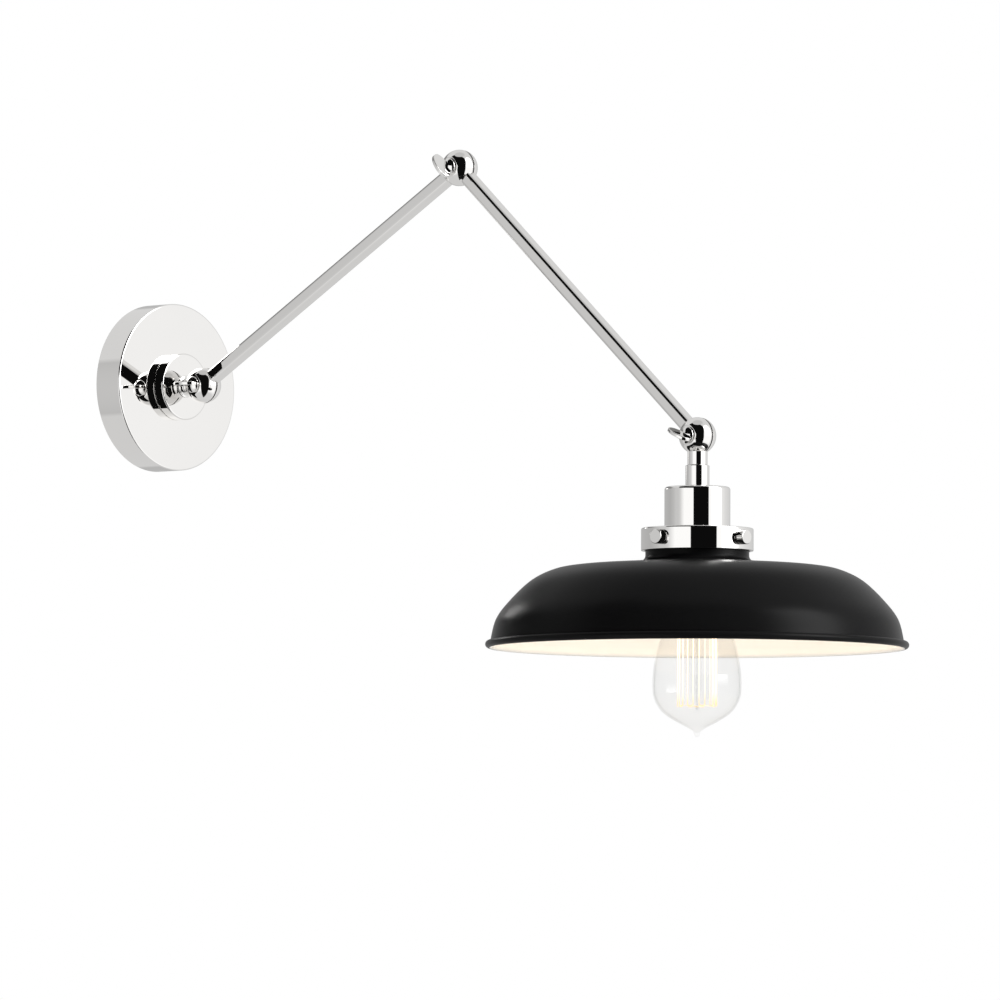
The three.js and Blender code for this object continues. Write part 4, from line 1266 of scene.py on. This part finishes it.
class SCONCE_OT_stage(bpy.types.Operator):
    """Make the floor, the studio light, the bulb's light and the camera"""

    bl_idname = "sconce.stage"
    bl_label = "Stage"
    bl_options = {"REGISTER", "UNDO"}

    away = (0.747, 0.665, 0.0)
    right = (0.665, -0.747, 0.0)
    walls = ((-180, 0.50), (-143, 0.49), (-112, 0.46), (-92, 0.54), (-83, 0.61), (-72, 0.62),
             (-64, 0.69), (-56, 0.90), (-48, 1.08), (88, 1.08), (92, 1.03), (97, 0.88), (115, 0.77),
             (148, 0.67), (160, 0.62), (180, 0.5))
    roof_light, black, softbox_light = 0.56, 0.004, 6

    def execute(self, context):
        scene = context.scene
        self.floor(scene.sconce_stage)
        self.studio(scene)
        self.bulb_light(scene.sconce_bulb.power)
        self.camera(scene)
        scene.view_settings.view_transform = "Standard"
        scene.view_settings.look = "None"
        return {"FINISHED"}

    def floor(self, sizes):
        """Round floor: rings that widen from the middle, closed at the middle."""
        radius = np.array([0, 0.5, 1.5, 4, 9, 16]) / MM
        profile = np.stack([radius, np.full_like(radius, sizes.drop / MM)], 1)
        floor = joined("floor", [Skin(turned(profile, 96))], [FLOOR])
        floor.visible_glossy = False
        floor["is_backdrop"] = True

    def studio(self, scene):
        """Light tent, worked out in degrees: azimuth is 0 toward the camera and grows to its right.

        The walls' light follows the azimuth. A dark opening on the camera's side runs up over the
        top on its left, a softbox stands on the right and a dim patch at the rear. The background
        itself is plain white.
        """
        world = bpy.data.worlds.new("light tent")
        scene.world = world
        world.use_nodes = True
        r = Recipe(world.node_tree)
        ray = r.node("ShaderNodeTexCoord", {}, {}).outputs["Generated"]
        side, toward = r.dot(ray, self.right), r.dot(ray, tuple(-a for a in self.away))
        azimuth = r.math("ARCTAN2", side, toward) * (180 / math.pi)
        height = r.math("ARCSINE", r.dot(ray, (0, 0, 1))) * (180 / math.pi)
        stops = [((a + 180) / 360, s) for a, s in self.walls]
        ramp = r.node("ShaderNodeValToRGB", {"stops": stops}, {0: (azimuth + 180) / 360})
        steep = r.math("ABSOLUTE", height)
        walls = r.math("MINIMUM", ramp.outputs[0], 1.1 - 0.42 * steep.between(32, 50))
        walls = r.math("MAXIMUM", walls, 0.71 * height.between(10, 28))
        walls = r.math("MAXIMUM", walls, 0.66 * height.between(-10, -28))
        rear = azimuth.between(-164, -156) * azimuth.between(-102, -112)
        rear = rear * height.between(8, 14) * height.between(36, 30)
        roof = height.between(66, 72)
        lit = walls * (1 - 0.65 * rear) * (1 - roof) + self.roof_light * roof
        left = -15 - 57 * height.between(9, 16) - 26 * height.between(30, 56)
        right = 39 + 9 * height.between(10, 50) - 12 * height.between(55, 68)
        opening = (azimuth - left).between(-0.6, 0.6) * (azimuth - right).between(0.6, -0.6)
        opening = opening * height.between(69.8, 68.2)
        softbox = azimuth.between(48, 60) * azimuth.between(92, 82)
        softbox = softbox * height.between(0, 10) * height.between(56, 44)
        shown = lit * (1 - opening) + self.black * opening + self.softbox_light * softbox
        seen = r.node("ShaderNodeLightPath", {}, {}).outputs["Is Camera Ray"]
        strength = r.math("ADD", shown * (1 - Value(r, seen)), seen)
        light = r.shader("ShaderNodeBackground", {"Color": (1, 1, 1, 1), "Strength": strength})
        r.node("ShaderNodeOutputWorld", {}, {"Surface": light})

    def bulb_light(self, power):
        """Warm light at the filament's middle, which turns with the bulb."""
        low, high = corners("filament")
        light = bpy.data.lights.new("bulb light", "POINT")
        light.energy = power
        light.color = (1.0, 0.85, 0.66)
        light.shadow_soft_size = 0.014
        lamp = bpy.data.objects.new("bulb light", light)
        lamp.location = tuple((low + high) / 2 * MM)
        lamp.visible_glossy = False
        bpy.context.scene.collection.objects.link(lamp)
        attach(lamp, "bulb")

    def camera(self, scene):
        """Long lens, a little below the light and turned up to it by a few degrees."""
        turn, tilt, roll = math.radians(-48.33), math.radians(3.68), math.radians(0.214)
        ahead = Vector((-math.sin(turn) * math.cos(tilt), math.cos(turn) * math.cos(tilt),
                        math.sin(tilt)))
        level = Vector((math.cos(turn), math.sin(turn), 0))
        up = level.cross(ahead)
        right = math.cos(roll) * level + math.sin(roll) * up
        above = -math.sin(roll) * level + math.cos(roll) * up
        data = bpy.data.cameras.new("camera")
        data.lens = scene.sconce_stage.lens
        data.sensor_width = 36
        data.clip_end = 60
        camera = bpy.data.objects.new("camera", data)
        place = Matrix.Translation((-4.632, -4.476, -0.498))
        camera.matrix_world = place @ Matrix((right, above, -ahead)).transposed().to_4x4()
        scene.collection.objects.link(camera)
        scene.camera = camera


OPERATORS = (
    SCONCE_OT_canopy,
    SCONCE_OT_hub,
    SCONCE_OT_knuckles,
    SCONCE_OT_keys,
    SCONCE_OT_arms,
    SCONCE_OT_stem,
    SCONCE_OT_collar_screws,
    SCONCE_OT_shade,
    SCONCE_OT_socket,
    SCONCE_OT_bulb,
    SCONCE_OT_stage,
)

SETTINGS = {
    "sconce_canopy": SconceCanopy,
    "sconce_knuckle": SconceKnuckle,
    "sconce_arms": SconceArms,
    "sconce_stem": SconceStem,
    "sconce_shade": SconceShade,
    "sconce_bulb": SconceBulb,
    "sconce_finish": SconceFinish,
    "sconce_stage": SconceStage,
}


class VIEW3D_PT_sconce(bpy.types.Panel):
    """Lists the pieces of the sconce and their sizes"""

    bl_label = "Swing Arm Sconce"
    bl_space_type = "VIEW_3D"
    bl_region_type = "UI"
    bl_category = "Sconce"

    def draw(self, context):
        for name, group in SETTINGS.items():
            box = self.layout.box()
            box.label(text=name.replace("sconce_", "").capitalize())
            for prop in group.__annotations__:
                box.prop(getattr(context.scene, name), prop)
        for operator in OPERATORS:
            self.layout.operator(operator.bl_idname)


def register():
    for group in SETTINGS.values():
        bpy.utils.register_class(group)
    for name, group in SETTINGS.items():
        setattr(bpy.types.Scene, name, PointerProperty(type=group))
    for operator in OPERATORS:
        bpy.utils.register_class(operator)
    bpy.utils.register_class(VIEW3D_PT_sconce)


def unregister():
    bpy.utils.unregister_class(VIEW3D_PT_sconce)
    for operator in reversed(OPERATORS):
        bpy.utils.unregister_class(operator)
    for name, group in SETTINGS.items():
        delattr(bpy.types.Scene, name)
        bpy.utils.unregister_class(group)


def main():
    register()
    for operator in OPERATORS:
        group, call = operator.bl_idname.split(".")
        getattr(getattr(bpy.ops, group), call)()
    boxes = {"cad": CAD_BOX, "visual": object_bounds()}
    as_lists = {name: [list(map(float, corner)) for corner in box] for name, box in boxes.items()}


if __name__ == "__main__":
    main()
